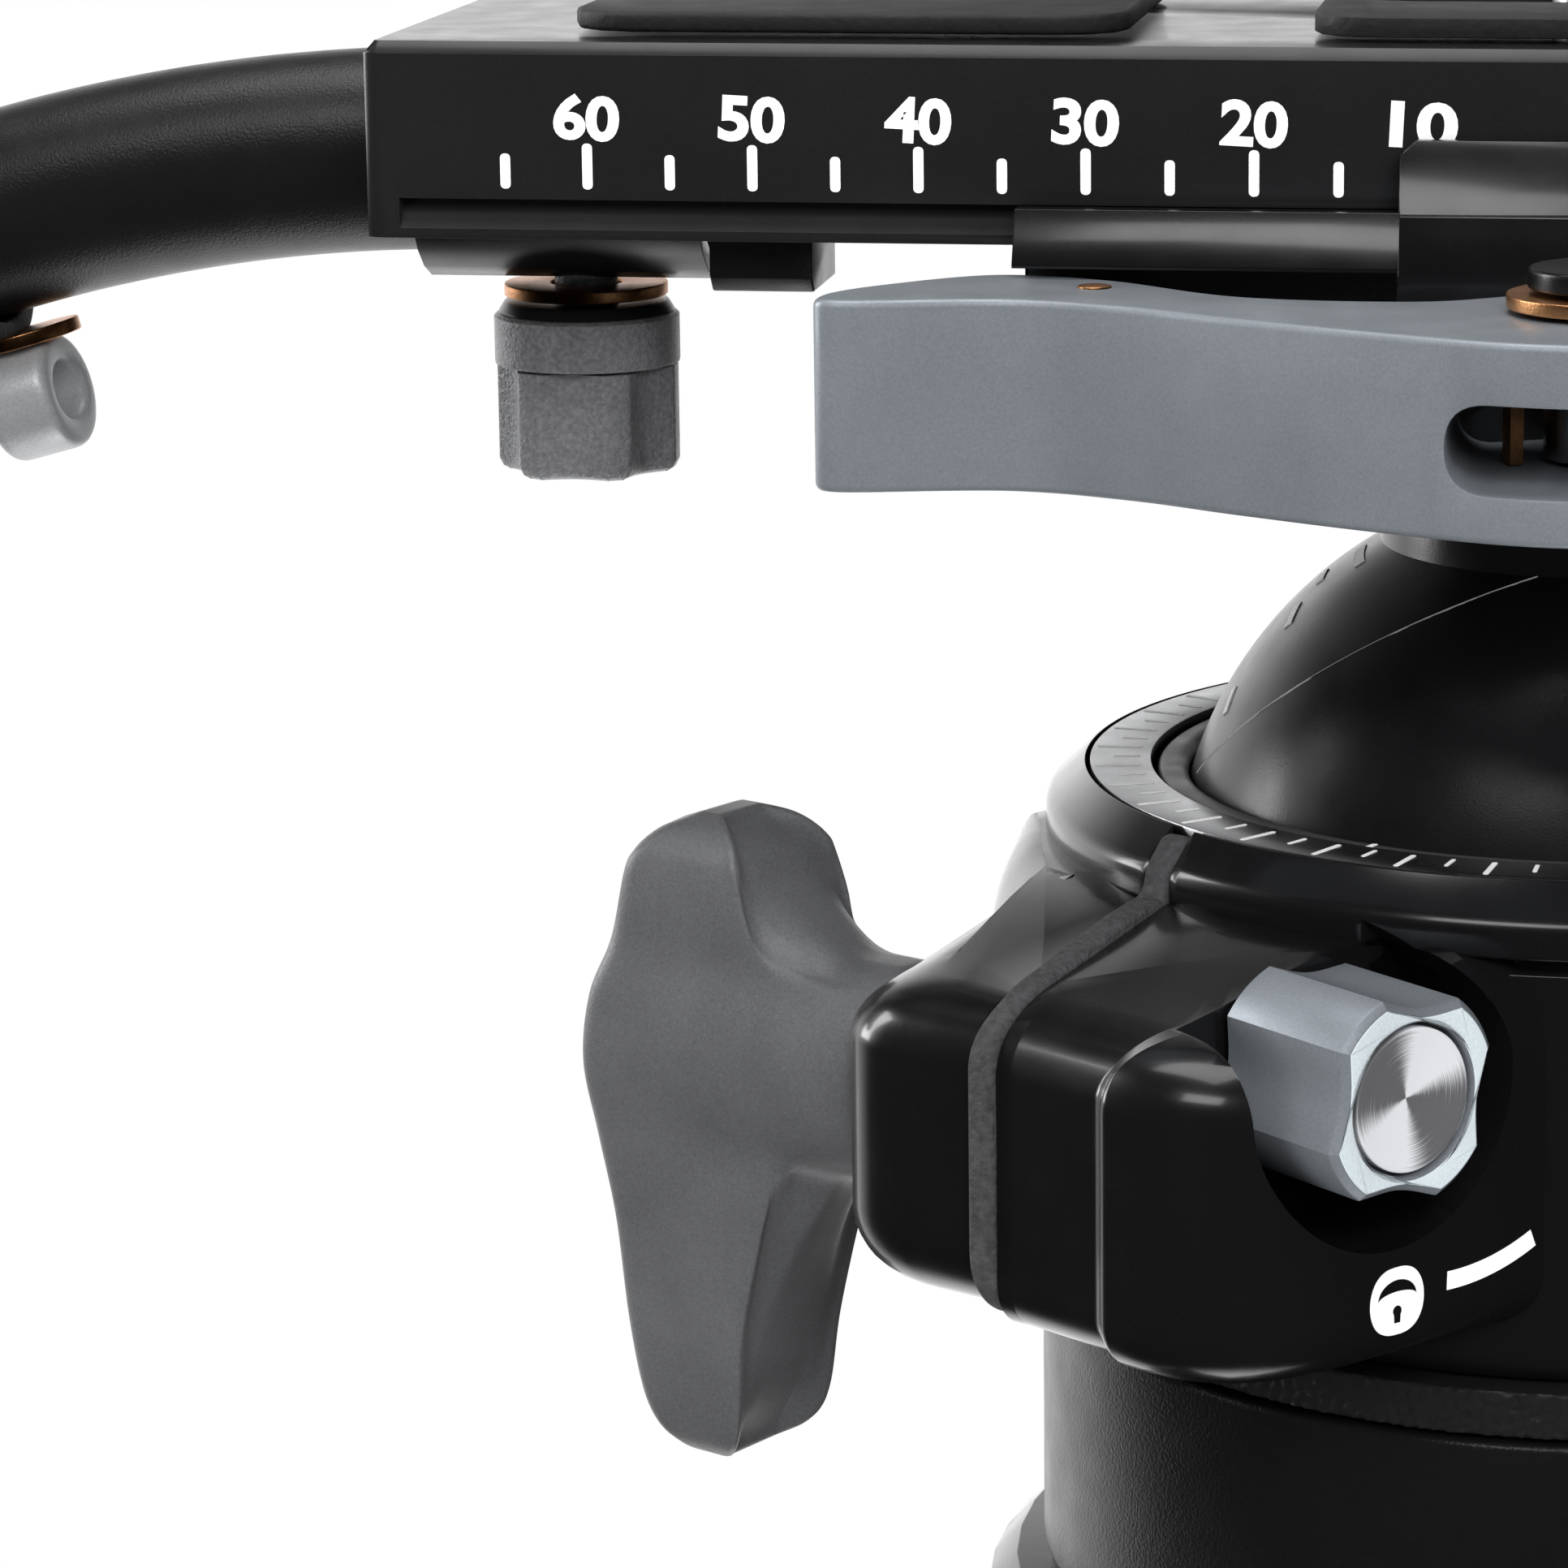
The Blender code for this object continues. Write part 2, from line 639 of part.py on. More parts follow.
def twist_lock(outer_tube, inner_tube, tube_end):
    """Collar screwed over the end of one tube, closing on the next."""
    start = tube_end - LOCK_GRIP
    end = start + LOCK_LENGTH
    outer = outer_tube + SEAT_GAP + LOCK_WALL
    profile = [
        (outer_tube + RUN_GAP, -start),
        (outer - LOCK_CHAMFER, -start),
        (outer, -start - LOCK_CHAMFER),
        (outer, -end + 2 * LOCK_CHAMFER),
        (outer - 2 * LOCK_CHAMFER, -end),
        (inner_tube + RUN_GAP, -end),
        (inner_tube + RUN_GAP, -tube_end - RUN_GAP),
        (outer_tube + RUN_GAP, -tube_end - RUN_GAP),
    ]
    return lathe(profile, TUBE_SIDES, closed_loop=True)


def foot():
    """Rubber foot with a ball end. One ring of the ball lies where it meets the floor."""
    profile = [(0, -LEG_REACH - FOOT_BALL_RADIUS)]
    for step in (1, 2, 3):
        turn = LEG_SPREAD * step
        profile.append((FOOT_BALL_RADIUS * math.sin(turn),
                        -LEG_REACH - FOOT_BALL_RADIUS * math.cos(turn)))
    top = -LEG_REACH + FOOT_LENGTH
    profile += [
        (FOOT_BALL_RADIUS, -LEG_REACH),
        (FOOT_NECK_RADIUS, -LEG_REACH + FOOT_LENGTH / 2),
        (FOOT_NECK_RADIUS, top),
        (LOWER_TUBE_RADIUS + SEAT_GAP, top),
        (LOWER_TUBE_RADIUS + SEAT_GAP, top - FOOT_SOCKET - SEAT_GAP),
        (0, top - FOOT_SOCKET - SEAT_GAP),
    ]
    return lathe(profile, TUBE_SIDES)


def hinge_pin():
    pin = cylinder(PIN_RADIUS, -PIN_LENGTH / 2, PIN_LENGTH / 2, SMALL_SIDES)
    return moved(pin, Matrix.Rotation(math.pi / 2, 4, "X"))


def build_leg(number):
    frame = leg_frame(number)
    pivot = frame.translation
    name = "leg_%d_" % (number + 1)
    lower_end = LEG_REACH - FOOT_LENGTH + FOOT_SOCKET
    pieces = [
        ("hinge_pin", hinge_pin(), "steel"),
        ("shoulder", shoulder(), "black_anodised"),
        ("upper_tube", leg_tube(UPPER_TUBE_RADIUS, UPPER_TUBE_START, UPPER_TUBE_END), "carbon"),
        ("upper_lock", twist_lock(UPPER_TUBE_RADIUS, MIDDLE_TUBE_RADIUS, UPPER_TUBE_END), "rubber"),
        ("middle_tube", leg_tube(MIDDLE_TUBE_RADIUS, MIDDLE_TUBE_START, MIDDLE_TUBE_END), "carbon"),
        ("lower_lock", twist_lock(MIDDLE_TUBE_RADIUS, LOWER_TUBE_RADIUS, MIDDLE_TUBE_END), "rubber"),
        ("lower_tube", leg_tube(LOWER_TUBE_RADIUS, LOWER_TUBE_START, lower_end), "carbon"),
        ("foot", foot(), "rubber"),
    ]
    for piece, solid, finish_name in pieces:
        node(name + piece, moved(solid, frame), finish_name, pivot)


# Apex, column and fixed parts of the head

def apex():
    """Round block with a slot for each leg."""
    solid = cylinder(APEX_RADIUS, APEX_BOTTOM, APEX_TOP, FINE_SIDES, APEX_CHAMFER)
    for number in range(LEG_COUNT):
        around = LEG_FIRST_ANGLE + 2 * math.pi * number / LEG_COUNT
        turn = Matrix.Rotation(around, 4, "Z")
        half = TONGUE_WIDTH / 2 + RUN_GAP
        slot = block(APEX_CORE_RADIUS, APEX_RADIUS + CUT_OVER, -half, half,
                     APEX_BOTTOM - CUT_OVER, APEX_TOP - APEX_ROOF)
        hole = moved(cylinder(PIN_RADIUS + SEAT_GAP, -PIN_LENGTH / 2 - SEAT_GAP,
                              PIN_LENGTH / 2 + SEAT_GAP, SMALL_SIDES),
                     Matrix.Translation((PIVOT_RADIUS, 0, HINGE_Z))
                     @ Matrix.Rotation(math.pi / 2, 4, "X"))
        solid = cut(solid, moved(slot, turn), moved(hole, turn))
    bore = cylinder(SCREW_RADIUS + SEAT_GAP, APEX_BOTTOM - CUT_OVER, APEX_TOP + CUT_OVER,
                    SMALL_SIDES)
    return cut(solid, bore)


def column_screw():
    """Screw up through the apex into the column."""
    top = RING_Z - WELL_DROP - SEAT_GAP
    head = APEX_BOTTOM - SEAT_GAP
    return lathe([(0, head - SCREW_HEAD_HEIGHT), (SCREW_HEAD_RADIUS, head - SCREW_HEAD_HEIGHT),
                  (SCREW_HEAD_RADIUS, head), (SCREW_RADIUS, head),
                  (SCREW_RADIUS, top), (0, top)], SMALL_SIDES)


def base_column():
    bottom = RING_Z - COLUMN_DROP
    top = RING_Z - COLUMN_TOP_DROP
    return lathe([
        (SCREW_RADIUS + SEAT_GAP, bottom),
        (COLUMN_RADIUS - COLUMN_CHAMFER, bottom),
        (COLUMN_RADIUS, bottom + COLUMN_CHAMFER),
        (COLUMN_RADIUS, top),
        (WELL_RADIUS, top),
        (WELL_RADIUS, RING_Z - WELL_DROP),
        (SCREW_RADIUS + SEAT_GAP, RING_Z - WELL_DROP),
    ], FINE_SIDES, closed_loop=True)


def textured_ring():
    low = RING_Z - COLUMN_TOP_DROP + SEAT_GAP
    return ring(WELL_RADIUS, TEXTURED_RING_RADIUS, low, low + TEXTURED_RING_HEIGHT, FINE_SIDES)


def housing_body():
    """Turned body of the housing, before the seam is cut."""
    low = RING_Z - HOUSING_DROP
    return lathe([
        (WELL_RADIUS, low),
        (HOUSING_RADIUS - HOUSING_CHAMFER, low),
        (HOUSING_RADIUS, low + HOUSING_CHAMFER),
        (HOUSING_RADIUS, RING_Z - FLANGE_DROP - GROOVE_HEIGHT),
        (HOUSING_RADIUS - GROOVE_DEPTH, RING_Z - FLANGE_DROP - GROOVE_HEIGHT),
        (HOUSING_RADIUS - GROOVE_DEPTH, RING_Z - FLANGE_DROP),
        (FLANGE_RADIUS, RING_Z - FLANGE_DROP),
        (FLANGE_RADIUS, RING_Z - FLANGE_CHAMFER),
        (SCALE_RING_OUTER + SEAT_GAP, RING_Z),
        (SCALE_RING_OUTER + SEAT_GAP, RING_Z - RING_SEAT_DROP),
        (WELL_RADIUS, RING_Z - RING_SEAT_DROP),
    ], FINE_SIDES, closed_loop=True)


def inset(points, distance):
    """Move every side of an outline inwards by a distance."""
    sides = []
    count = len(points)
    for index in range(count):
        start, end = points[index], points[(index + 1) % count]
        along = (end - start).normalized()
        sides.append((start + Vector((-along.y, along.x)) * distance, along))
    moved_points = []
    for index in range(count):
        start, along = sides[index - 1]
        other, slope = sides[index]
        across = along.x * slope.y - along.y * slope.x
        gap = other - start
        reach = (gap.x * slope.y - gap.y * slope.x) / across
        moved_points.append(start + along * reach)
    return moved_points


def lug_solid(points, radii, low):
    """Lug whose sides draw in towards its top and its bottom."""
    high = RING_Z - LUG_TOP_DROP
    levels = [(low + LUG_BOTTOM_ROUND * rise, LUG_BOTTOM_ROUND * draw) for rise, draw in ROUNDING_SHARES]
    levels += [(high - LUG_TOP_ROUND * rise, LUG_TOP_ROUND * draw)
               for rise, draw in reversed(ROUNDING_SHARES)]
    solid = bmesh.new()
    rows = []
    for height, distance in levels:
        outline = rounded(inset(points, distance), [max(radius - distance, 0) for radius in radii], 3)
        rows.append([solid.verts.new((point.x, point.y, height)) for point in outline])
    for lower, upper in zip(rows, rows[1:]):
        count = len(lower)
        for step in range(count):
            after = (step + 1) % count
            solid.faces.new([lower[step], lower[after], upper[after], upper[step]])
    solid.faces.new(rows[0])
    solid.faces.new(rows[-1])
    bmesh.ops.recalc_face_normals(solid, faces=solid.faces)
    return solid


def front_lug():
    """Front lug: from the seam round to the flat face that holds the star knob."""
    inner = SEAM_OFFSET - SEAT_GAP
    corner = lug_point(SEAM_OFFSET - GASKET_THICKNESS, LUG_REACH)
    left = face_point(FACE_OFFSET, FACE_LEFT)
    slope = (left - corner).normalized()
    outward = Vector((slope.y, -slope.x))
    step_start = corner + (left - corner) * STEP_PLACE_SHARE
    step_end = step_start + outward * LUG_STEP + slope * LUG_STEP
    points = [
        lug_point(inner + LUG_BOTTOM_ROUND, LUG_ROOT / 2),
        lug_point(inner + LUG_BOTTOM_ROUND, LUG_REACH),
        corner,
        step_start,
        step_end,
        left + outward * LUG_STEP,
        face_point(FACE_OFFSET, FACE_RIGHT),
        face_point(LUG_BACK, 0),
    ]
    radii = [0, 0, 0, 0, 0, FACE_CORNER, 0, 0]
    solid = lug_solid(points, radii, RING_Z - FRONT_LUG_BOTTOM_DROP)
    beyond = seam(2 * LUG_BOTTOM_ROUND, -LUG_REACH, 2 * LUG_REACH, RING_Z - HOUSING_DROP, RING_Z)
    shift = WING_DIRECTION * (LUG_BOTTOM_ROUND - SEAT_GAP)
    return cut(solid, moved(beyond, Matrix.Translation((shift.x, shift.y, 0))))


def side_lug():
    """Lug on the wing's side, carrying the wing screw."""
    inner = SEAM_OFFSET - LUG_BOTTOM_ROUND
    points = [lug_point(inner, LUG_ROOT / 2), lug_point(SIDE_LUG_END, LUG_ROOT / 4)]
    bulge = HOUSING_RADIUS - SIDE_LUG_END
    points += [lug_point(SIDE_LUG_END + bulge * outwards, LUG_REACH * along_lug)
               for outwards, along_lug in SIDE_FLARE_SHARES]
    points += [lug_point(SIDE_LUG_END, LUG_REACH), lug_point(inner, LUG_REACH)]
    radii = [0] * (2 + len(SIDE_FLARE_SHARES)) + [LUG_CORNER, 0]
    solid = lug_solid(points, radii, RING_Z - SIDE_LUG_BOTTOM_DROP)
    beyond = seam(2 * LUG_BOTTOM_ROUND, -LUG_REACH, 2 * LUG_REACH, RING_Z - HOUSING_DROP, RING_Z)
    shift = WING_DIRECTION * (SEAT_GAP - LUG_BOTTOM_ROUND)
    return cut(solid, moved(beyond, Matrix.Translation((shift.x, shift.y, 0))))


def seam(thickness, back, reach, low, high):
    """Upright slab on the middle plane of the seam."""
    half = thickness / 2
    outline = [lug_point(SEAM_OFFSET - half, back), lug_point(SEAM_OFFSET + half, back),
               lug_point(SEAM_OFFSET + half, reach), lug_point(SEAM_OFFSET - half, reach)]
    return prism(outline, low, high)


def lug_relief():
    """Round cut that keeps the lugs inside the wall of the housing."""
    radius = (WELL_RADIUS + HOUSING_RADIUS) / 2
    return cylinder(radius, RING_Z - HOUSING_DROP - CUT_OVER, RING_Z + CUT_OVER, FINE_SIDES)


def wing_screw_hole():
    hole = cylinder(WING_SCREW_RADIUS + RUN_GAP, WING_SCREW_START - SEAT_GAP,
                    SIDE_LUG_END + CUT_OVER, SMALL_SIDES)
    return moved(hole, wing_matrix(0))


def star_pocket():
    """Round pocket for the star knob."""
    return moved(cylinder(POCKET_RADIUS, STAR_FLOOR, FACE_OFFSET + CUT_OVER, FINE_SIDES),
                 star_matrix(0))


def spindle_hole():
    hole = cylinder(SPINDLE_RADIUS + RUN_GAP, STAR_FLOOR - SPINDLE_LENGTH,
                    STAR_FLOOR + CUT_OVER, SMALL_SIDES)
    return moved(hole, star_matrix(0))


def housing():
    """Clamp housing: a split ring with two lugs at the seam."""
    solid = join(housing_body(), cut(front_lug(), lug_relief()), cut(side_lug(), lug_relief()))
    gap = seam(GASKET_THICKNESS, 0, LUG_REACH + CUT_OVER, RING_Z - HOUSING_DROP - CUT_OVER,
               RING_Z + CUT_OVER)
    return cut(solid, gap, star_pocket(), spindle_hole(), wing_screw_hole())


def seam_gasket():
    """Strip in the seam. It follows the lugs and stands a little proud of them."""
    root = math.sqrt((WELL_RADIUS + SEAT_GAP) ** 2 - SEAM_OFFSET ** 2) + GASKET_THICKNESS / 2
    shelf = math.sqrt(FLANGE_RADIUS ** 2 - SEAM_OFFSET ** 2)
    inner = math.sqrt((SCALE_RING_OUTER + SEAT_GAP) ** 2 - SEAM_OFFSET ** 2) + SEAT_GAP
    top = -LUG_TOP_DROP + GASKET_PROUD
    bottom = -SIDE_LUG_BOTTOM_DROP - GASKET_PROUD
    end = LUG_REACH + GASKET_PROUD
    outline = [(root, bottom), (root, -RING_SEAT_DROP - GASKET_PROUD),
               (inner, -RING_SEAT_DROP - GASKET_PROUD), (inner, -GASKET_PROUD),
               (shelf, -FLANGE_CHAMFER + GASKET_PROUD), (shelf + GASKET_PROUD, top)]
    outline += [(end - LUG_TOP_ROUND * draw, top - LUG_TOP_ROUND * rise) for rise, draw in ROUNDING_SHARES]
    outline += [(end - LUG_BOTTOM_ROUND * draw, bottom + LUG_BOTTOM_ROUND * rise)
                for rise, draw in reversed(ROUNDING_SHARES)]
    half = GASKET_THICKNESS / 2 - SEAT_GAP
    solid = bmesh.new()
    ends = []
    for offset in (SEAM_OFFSET - half, SEAM_OFFSET + half):
        places = [(lug_point(offset, along_lug), RING_Z + drop) for along_lug, drop in outline]
        ends.append([solid.verts.new((place.x, place.y, height)) for place, height in places])
    solid.faces.new(ends[0])
    solid.faces.new(ends[1])
    count = len(outline)
    for step in range(count):
        after = (step + 1) % count
        solid.faces.new([ends[0][step], ends[0][after], ends[1][after], ends[1][step]])
    bmesh.ops.recalc_face_normals(solid, faces=solid.faces)
    hole = moved(cylinder(WING_SCREW_RADIUS + RUN_GAP, 0, SIDE_LUG_END, SMALL_SIDES),
                 wing_matrix(0))
    return cut(solid, hole)


# Panning parts, ball and cup

def bearing_plate():
    low = RING_Z - WELL_DROP + SEAT_GAP
    return ring(BEARING_BORE, BEARING_RADIUS, low, low + BEARING_HEIGHT, TUBE_SIDES)


def pan_sleeve():
    """Sleeve round the ball, with a round seat under the cup."""
    bore = SLEEVE_RADIUS - SLEEVE_WALL
    seat_radius = BALL_RADIUS + CUP_WALL + BALL_CLEARANCE + SEAT_GAP
    start = math.asin(bore / seat_radius)
    profile = [(0, RING_Z - SLEEVE_DROP), (SLEEVE_RADIUS, RING_Z - SLEEVE_DROP),
               (SLEEVE_RADIUS, RING_Z - SLEEVE_TOP_DROP), (bore, RING_Z - SLEEVE_TOP_DROP)]
    steps = 8
    for step in range(steps + 1):
        turn = start * (1 - step / steps)
        profile.append((seat_radius * math.sin(turn) if step < steps else 0,
                        BALL_Z - seat_radius * math.cos(turn)))
    return lathe(profile, FINE_SIDES)


def dust_ring():
    top = RING_Z - SEAT_GAP
    low = top - DUST_RING_HEIGHT
    return lathe([(DUST_RING_LOWER_BORE, low), (DUST_RING_RADIUS, low), (DUST_RING_RADIUS, top),
                  (DUST_RING_BORE, top)], FINE_SIDES, closed_loop=True)


def scale_ring():
    low = RING_Z - SCALE_RING_HEIGHT
    return ring(SCALE_RING_INNER, SCALE_RING_OUTER, low, RING_Z, FINE_SIDES)


def ball_cup():
    """Shallow friction cup under the ball."""
    inner = BALL_RADIUS + BALL_CLEARANCE
    outer = inner + CUP_WALL
    steps = 5
    profile = [(0, BALL_Z - outer)]
    for step in range(1, steps + 1):
        turn = CUP_SPREAD * step / steps
        profile.append((outer * math.sin(turn), BALL_Z - outer * math.cos(turn)))
    for step in range(steps, 0, -1):
        turn = CUP_SPREAD * step / steps
        profile.append((inner * math.sin(turn), BALL_Z - inner * math.cos(turn)))
    profile.append((0, BALL_Z - inner))
    return lathe(profile, TUBE_SIDES)


def ball():
    """Ball with its neck and the flange that carries the clamp."""
    end = math.pi - math.asin(NECK_RADIUS / BALL_RADIUS)
    steps = 18
    profile = [(0, BALL_Z - BALL_RADIUS)]
    for step in range(1, steps + 1):
        turn = end * step / steps
        profile.append((BALL_RADIUS * math.sin(turn), BALL_Z - BALL_RADIUS * math.cos(turn)))
    top = RAIL_Z - SEAT_GAP - CLAMP_THICKNESS - SEAT_GAP
    profile += [(NECK_RADIUS, top - 2 * NECK_FLANGE_HEIGHT), (NECK_FLANGE_RADIUS, top - NECK_FLANGE_HEIGHT),
                (NECK_FLANGE_RADIUS, top), (0, top)]
    return lathe(profile, FINE_SIDES)


# Knobs

def wing_section(outward, inward, half_width, corner):
    """Rounded rectangle across the wing: X along the screw, Y across it."""
    return rounded([(inward, -half_width), (outward, -half_width),
                    (outward, half_width), (inward, half_width)],
                   [corner] * 4, 2)


def wing_knob():
    """Tall wing with a round hub. Its upper arm is shorter than its lower arm."""
    inner = WING_INNER
    outer = WING_INNER + WING_THICKNESS
    levels = [(WING_UP * share, *rest) for share, *rest in UPPER_WING_SHARES]
    levels += [(-WING_DOWN * share, *rest) for share, *rest in LOWER_WING_SHARES]
    solid = bmesh.new()
    rows = []
    for height, inner_share, outer_share, width_share in levels:
        section = wing_section(outer + WING_THICKNESS * outer_share, inner + WING_THICKNESS * inner_share,
                               WING_HALF_WIDTH * width_share, WING_HALF_WIDTH * width_share / 2)
        rows.append([solid.verts.new((height, point[1], point[0])) for point in section])
    for low, high in zip(rows, rows[1:]):
        count = len(low)
        for step in range(count):
            after = (step + 1) % count
            solid.faces.new([low[step], low[after], high[after], high[step]])
    solid.faces.new(rows[0])
    solid.faces.new(rows[-1])
    bmesh.ops.recalc_face_normals(solid, faces=solid.faces)
    hub = cylinder(WING_HUB_RADIUS, SIDE_LUG_END + SEAT_GAP, WING_HUB_END, TUBE_SIDES, WING_HUB_CHAMFER)
    bore = cylinder(WING_SCREW_RADIUS + SEAT_GAP, SIDE_LUG_END - CUT_OVER,
                    WING_INNER, SMALL_SIDES)
    solid = cut(join(solid, hub), bore)
    return moved(solid, wing_matrix(0))


def wing_screw():
    screw = cylinder(WING_SCREW_RADIUS, WING_SCREW_START, WING_INNER - SEAT_GAP, SMALL_SIDES)
    return moved(screw, wing_matrix(0))


def star_knob():
    """Scalloped knob with a turned recess in its face."""
    low = STAR_FLOOR + SEAT_GAP
    high = low + STAR_LENGTH
    solid = prism(lobed(STAR_RADIUS, STAR_LOBE_DEPTH, STAR_LOBES, FINE_SIDES), low, high)
    soften(solid, STAR_CHAMFER, 1, at_height(high))
    solid = moved(solid, Matrix.Rotation(STAR_TURN, 4, "Z"))
    recess = cylinder(DISC_RADIUS + SEAT_GAP, high - DISC_DEPTH - SEAT_GAP, high + CUT_OVER, TUBE_SIDES)
    bore = cylinder(SPINDLE_RADIUS + SEAT_GAP, low - CUT_OVER, low + STAR_LENGTH / 2, SMALL_SIDES)
    return moved(cut(solid, recess, bore), star_matrix(0))


def star_disc():
    """Dished disc set in the star knob's face."""
    low = STAR_FLOOR + SEAT_GAP + STAR_LENGTH - DISC_DEPTH
    solid = lathe([(DISC_RADIUS * out, low + DISC_DEPTH * rise) for out, rise in DISC_SHARES], TUBE_SIDES)
    return moved(solid, star_matrix(0))


def star_spindle():
    low = STAR_FLOOR - SPINDLE_LENGTH + SEAT_GAP
    high = STAR_FLOOR + SEAT_GAP + STAR_LENGTH / 2 - SEAT_GAP
    return moved(cylinder(SPINDLE_RADIUS, low, high, SMALL_SIDES), star_matrix(0))


# Rail and clamp

def rail():
    """Grooved plate: dovetail along both sides, camera slot, bore for the handle."""
    half = RAIL_LENGTH / 2
    side = RAIL_WIDTH / 2
    top = RAIL_Z + RAIL_HEIGHT
    outline = rounded([(-half, -side), (half, -side), (half, side), (-half, side)],
                      [RAIL_CORNER] * 4, 3)
    solid = prism(outline, RAIL_Z, top)
    soften(solid, RAIL_TOP_CHAMFER, 1, at_height(top))
    run = half - DOVETAIL_STOP
    for sign in (-1, 1):
        inner = side - DOVETAIL_DEPTH
        low = RAIL_Z + RAIL_LIP
        section = [(sign * inner, low + DOVETAIL_DEPTH), (sign * (side + CUT_OVER), low + DOVETAIL_DEPTH),
                   (sign * (side + CUT_OVER), low - CUT_OVER)]
        groove = bmesh.new()
        ends = [[groove.verts.new((x, y, z)) for y, z in section] for x in (-run, run)]
        groove.faces.new(ends[0])
        groove.faces.new(ends[1])
        for step in range(3):
            after = (step + 1) % 3
            groove.faces.new([ends[0][step], ends[0][after], ends[1][after], ends[1][step]])
        solid = cut(solid, groove)
    slot = long_hole(RAIL_Z)
    under = block(-RAIL_UNDERCUT_LENGTH / 2, RAIL_UNDERCUT_LENGTH / 2, -RAIL_UNDERCUT_WIDTH / 2,
                  RAIL_UNDERCUT_WIDTH / 2, RAIL_Z - CUT_OVER, RAIL_Z + RAIL_UNDERCUT_DEPTH)
    handle_bore = moved(cylinder(HANDLE_RADIUS + SEAT_GAP, 0, HANDLE_INSET + CUT_OVER, TUBE_SIDES),
                        Matrix.Translation((-half - CUT_OVER, 0, RAIL_Z + HANDLE_RISE))
                        @ Matrix.Rotation(math.pi / 2, 4, "Y"))
    saddle = block(-half - CUT_OVER, -half + SOCKET_LENGTH + SEAT_GAP,
                   -HANDLE_RADIUS - SOCKET_WALL - SEAT_GAP, HANDLE_RADIUS + SOCKET_WALL + SEAT_GAP,
                   RAIL_Z - CUT_OVER, RAIL_Z + HANDLE_RISE)
    return cut(solid, slot, under, handle_bore, saddle)


def rubber_pad(place):
    """Pad on top of the rail. The middle one has a hole for the camera screw."""
    middle = place * RAIL_LENGTH * PAD_PITCH_SHARE
    low = RAIL_Z + RAIL_HEIGHT + SEAT_GAP
    half = PAD_LENGTH / 2
    side = PAD_WIDTH / 2
    outline = rounded([(middle - half, -side), (middle + half, -side),
                       (middle + half, side), (middle - half, side)], [PAD_CORNER] * 4, 3)
    pad = prism(outline, low, low + PAD_HEIGHT)
    if place == 0:
        return cut(pad, long_hole(low))
    return pad


def long_hole(low):
    """Long hole with round ends, upwards from a height."""
    half = SLOT_LENGTH / 2
    side = SLOT_WIDTH / 2
    outline = rounded([(-half, -side), (half, -side), (half, side), (-half, side)],
                      [side * ROUND_END_SHARE] * 4, 3)
    return prism(outline, low - CUT_OVER, RAIL_Z + RAIL_HEIGHT + PAD_HEIGHT + CUT_OVER)


def camera_screw():
    """Screw for the camera, its head under the rail and its thread above it."""
    head_low = RAIL_Z + SEAT_GAP
    head_high = head_low + CAMERA_HEAD_HEIGHT
    top = RAIL_Z + RAIL_HEIGHT + CAMERA_THREAD_RISE
    return lathe([(0, head_low), (CAMERA_HEAD_RADIUS, head_low), (CAMERA_HEAD_RADIUS, head_high),
                  (CAMERA_THREAD_RADIUS, head_high), (CAMERA_THREAD_RADIUS, top - CAMERA_THREAD_CHAMFER),
                  (CAMERA_THREAD_RADIUS - CAMERA_THREAD_CHAMFER, top), (0, top)], SMALL_SIDES)


def extruded_section(section, x_low, x_high):
    """Raise a (y, z) outline along X."""
    solid = bmesh.new()
    ends = [[solid.verts.new((x, y, z)) for y, z in section] for x in (x_low, x_high)]
    solid.faces.new(ends[0])
    solid.faces.new(ends[1])
    count = len(section)
    for step in range(count):
        after = (step + 1) % count
        solid.faces.new([ends[0][step], ends[0][after], ends[1][after], ends[1][step]])
    bmesh.ops.recalc_face_normals(solid, faces=solid.faces)
    return solid


def clamp_body():
    """Clamp base with its fixed rear jaw."""
    top = RAIL_Z - SEAT_GAP
    low = top - CLAMP_THICKNESS
    section = [
        (-CLAMP_FRONT, low), (CLAMP_BACK - CLAMP_EDGE, low), (CLAMP_BACK, low + CLAMP_EDGE),
        (CLAMP_BACK, RAIL_Z + JAW_RISE - CLAMP_EDGE), (CLAMP_BACK - CLAMP_EDGE, RAIL_Z + JAW_RISE),
        (JAW_FACE, RAIL_Z + JAW_RISE), (JAW_FACE, RAIL_Z + NOSE_TOP), (NOSE_TIP, RAIL_Z + NOSE_TOP),
        (JAW_FACE, RAIL_Z + NOSE_ROOT), (JAW_FACE, top), (-CLAMP_FRONT, top),
    ]
    solid = extruded_section(section, -CLAMP_LENGTH / 2, CLAMP_LENGTH / 2)
    rod = moved(cylinder(ROD_RADIUS + RUN_GAP, -ROD_BACK, CLAMP_FRONT + CUT_OVER, SMALL_SIDES),
                rod_matrix())
    return cut(solid, rod)


def lever_slot_height():
    """Middle height of the slot in the lever."""
    return RAIL_Z - LEVER_TOP_DROP - LEVER_SLOT_DROP


def rod_matrix():
    """Frame on the draw rod, its +Z towards -Y."""
    return facing((0, -1), lever_slot_height(), (LEVER_PIVOT_X, 0))


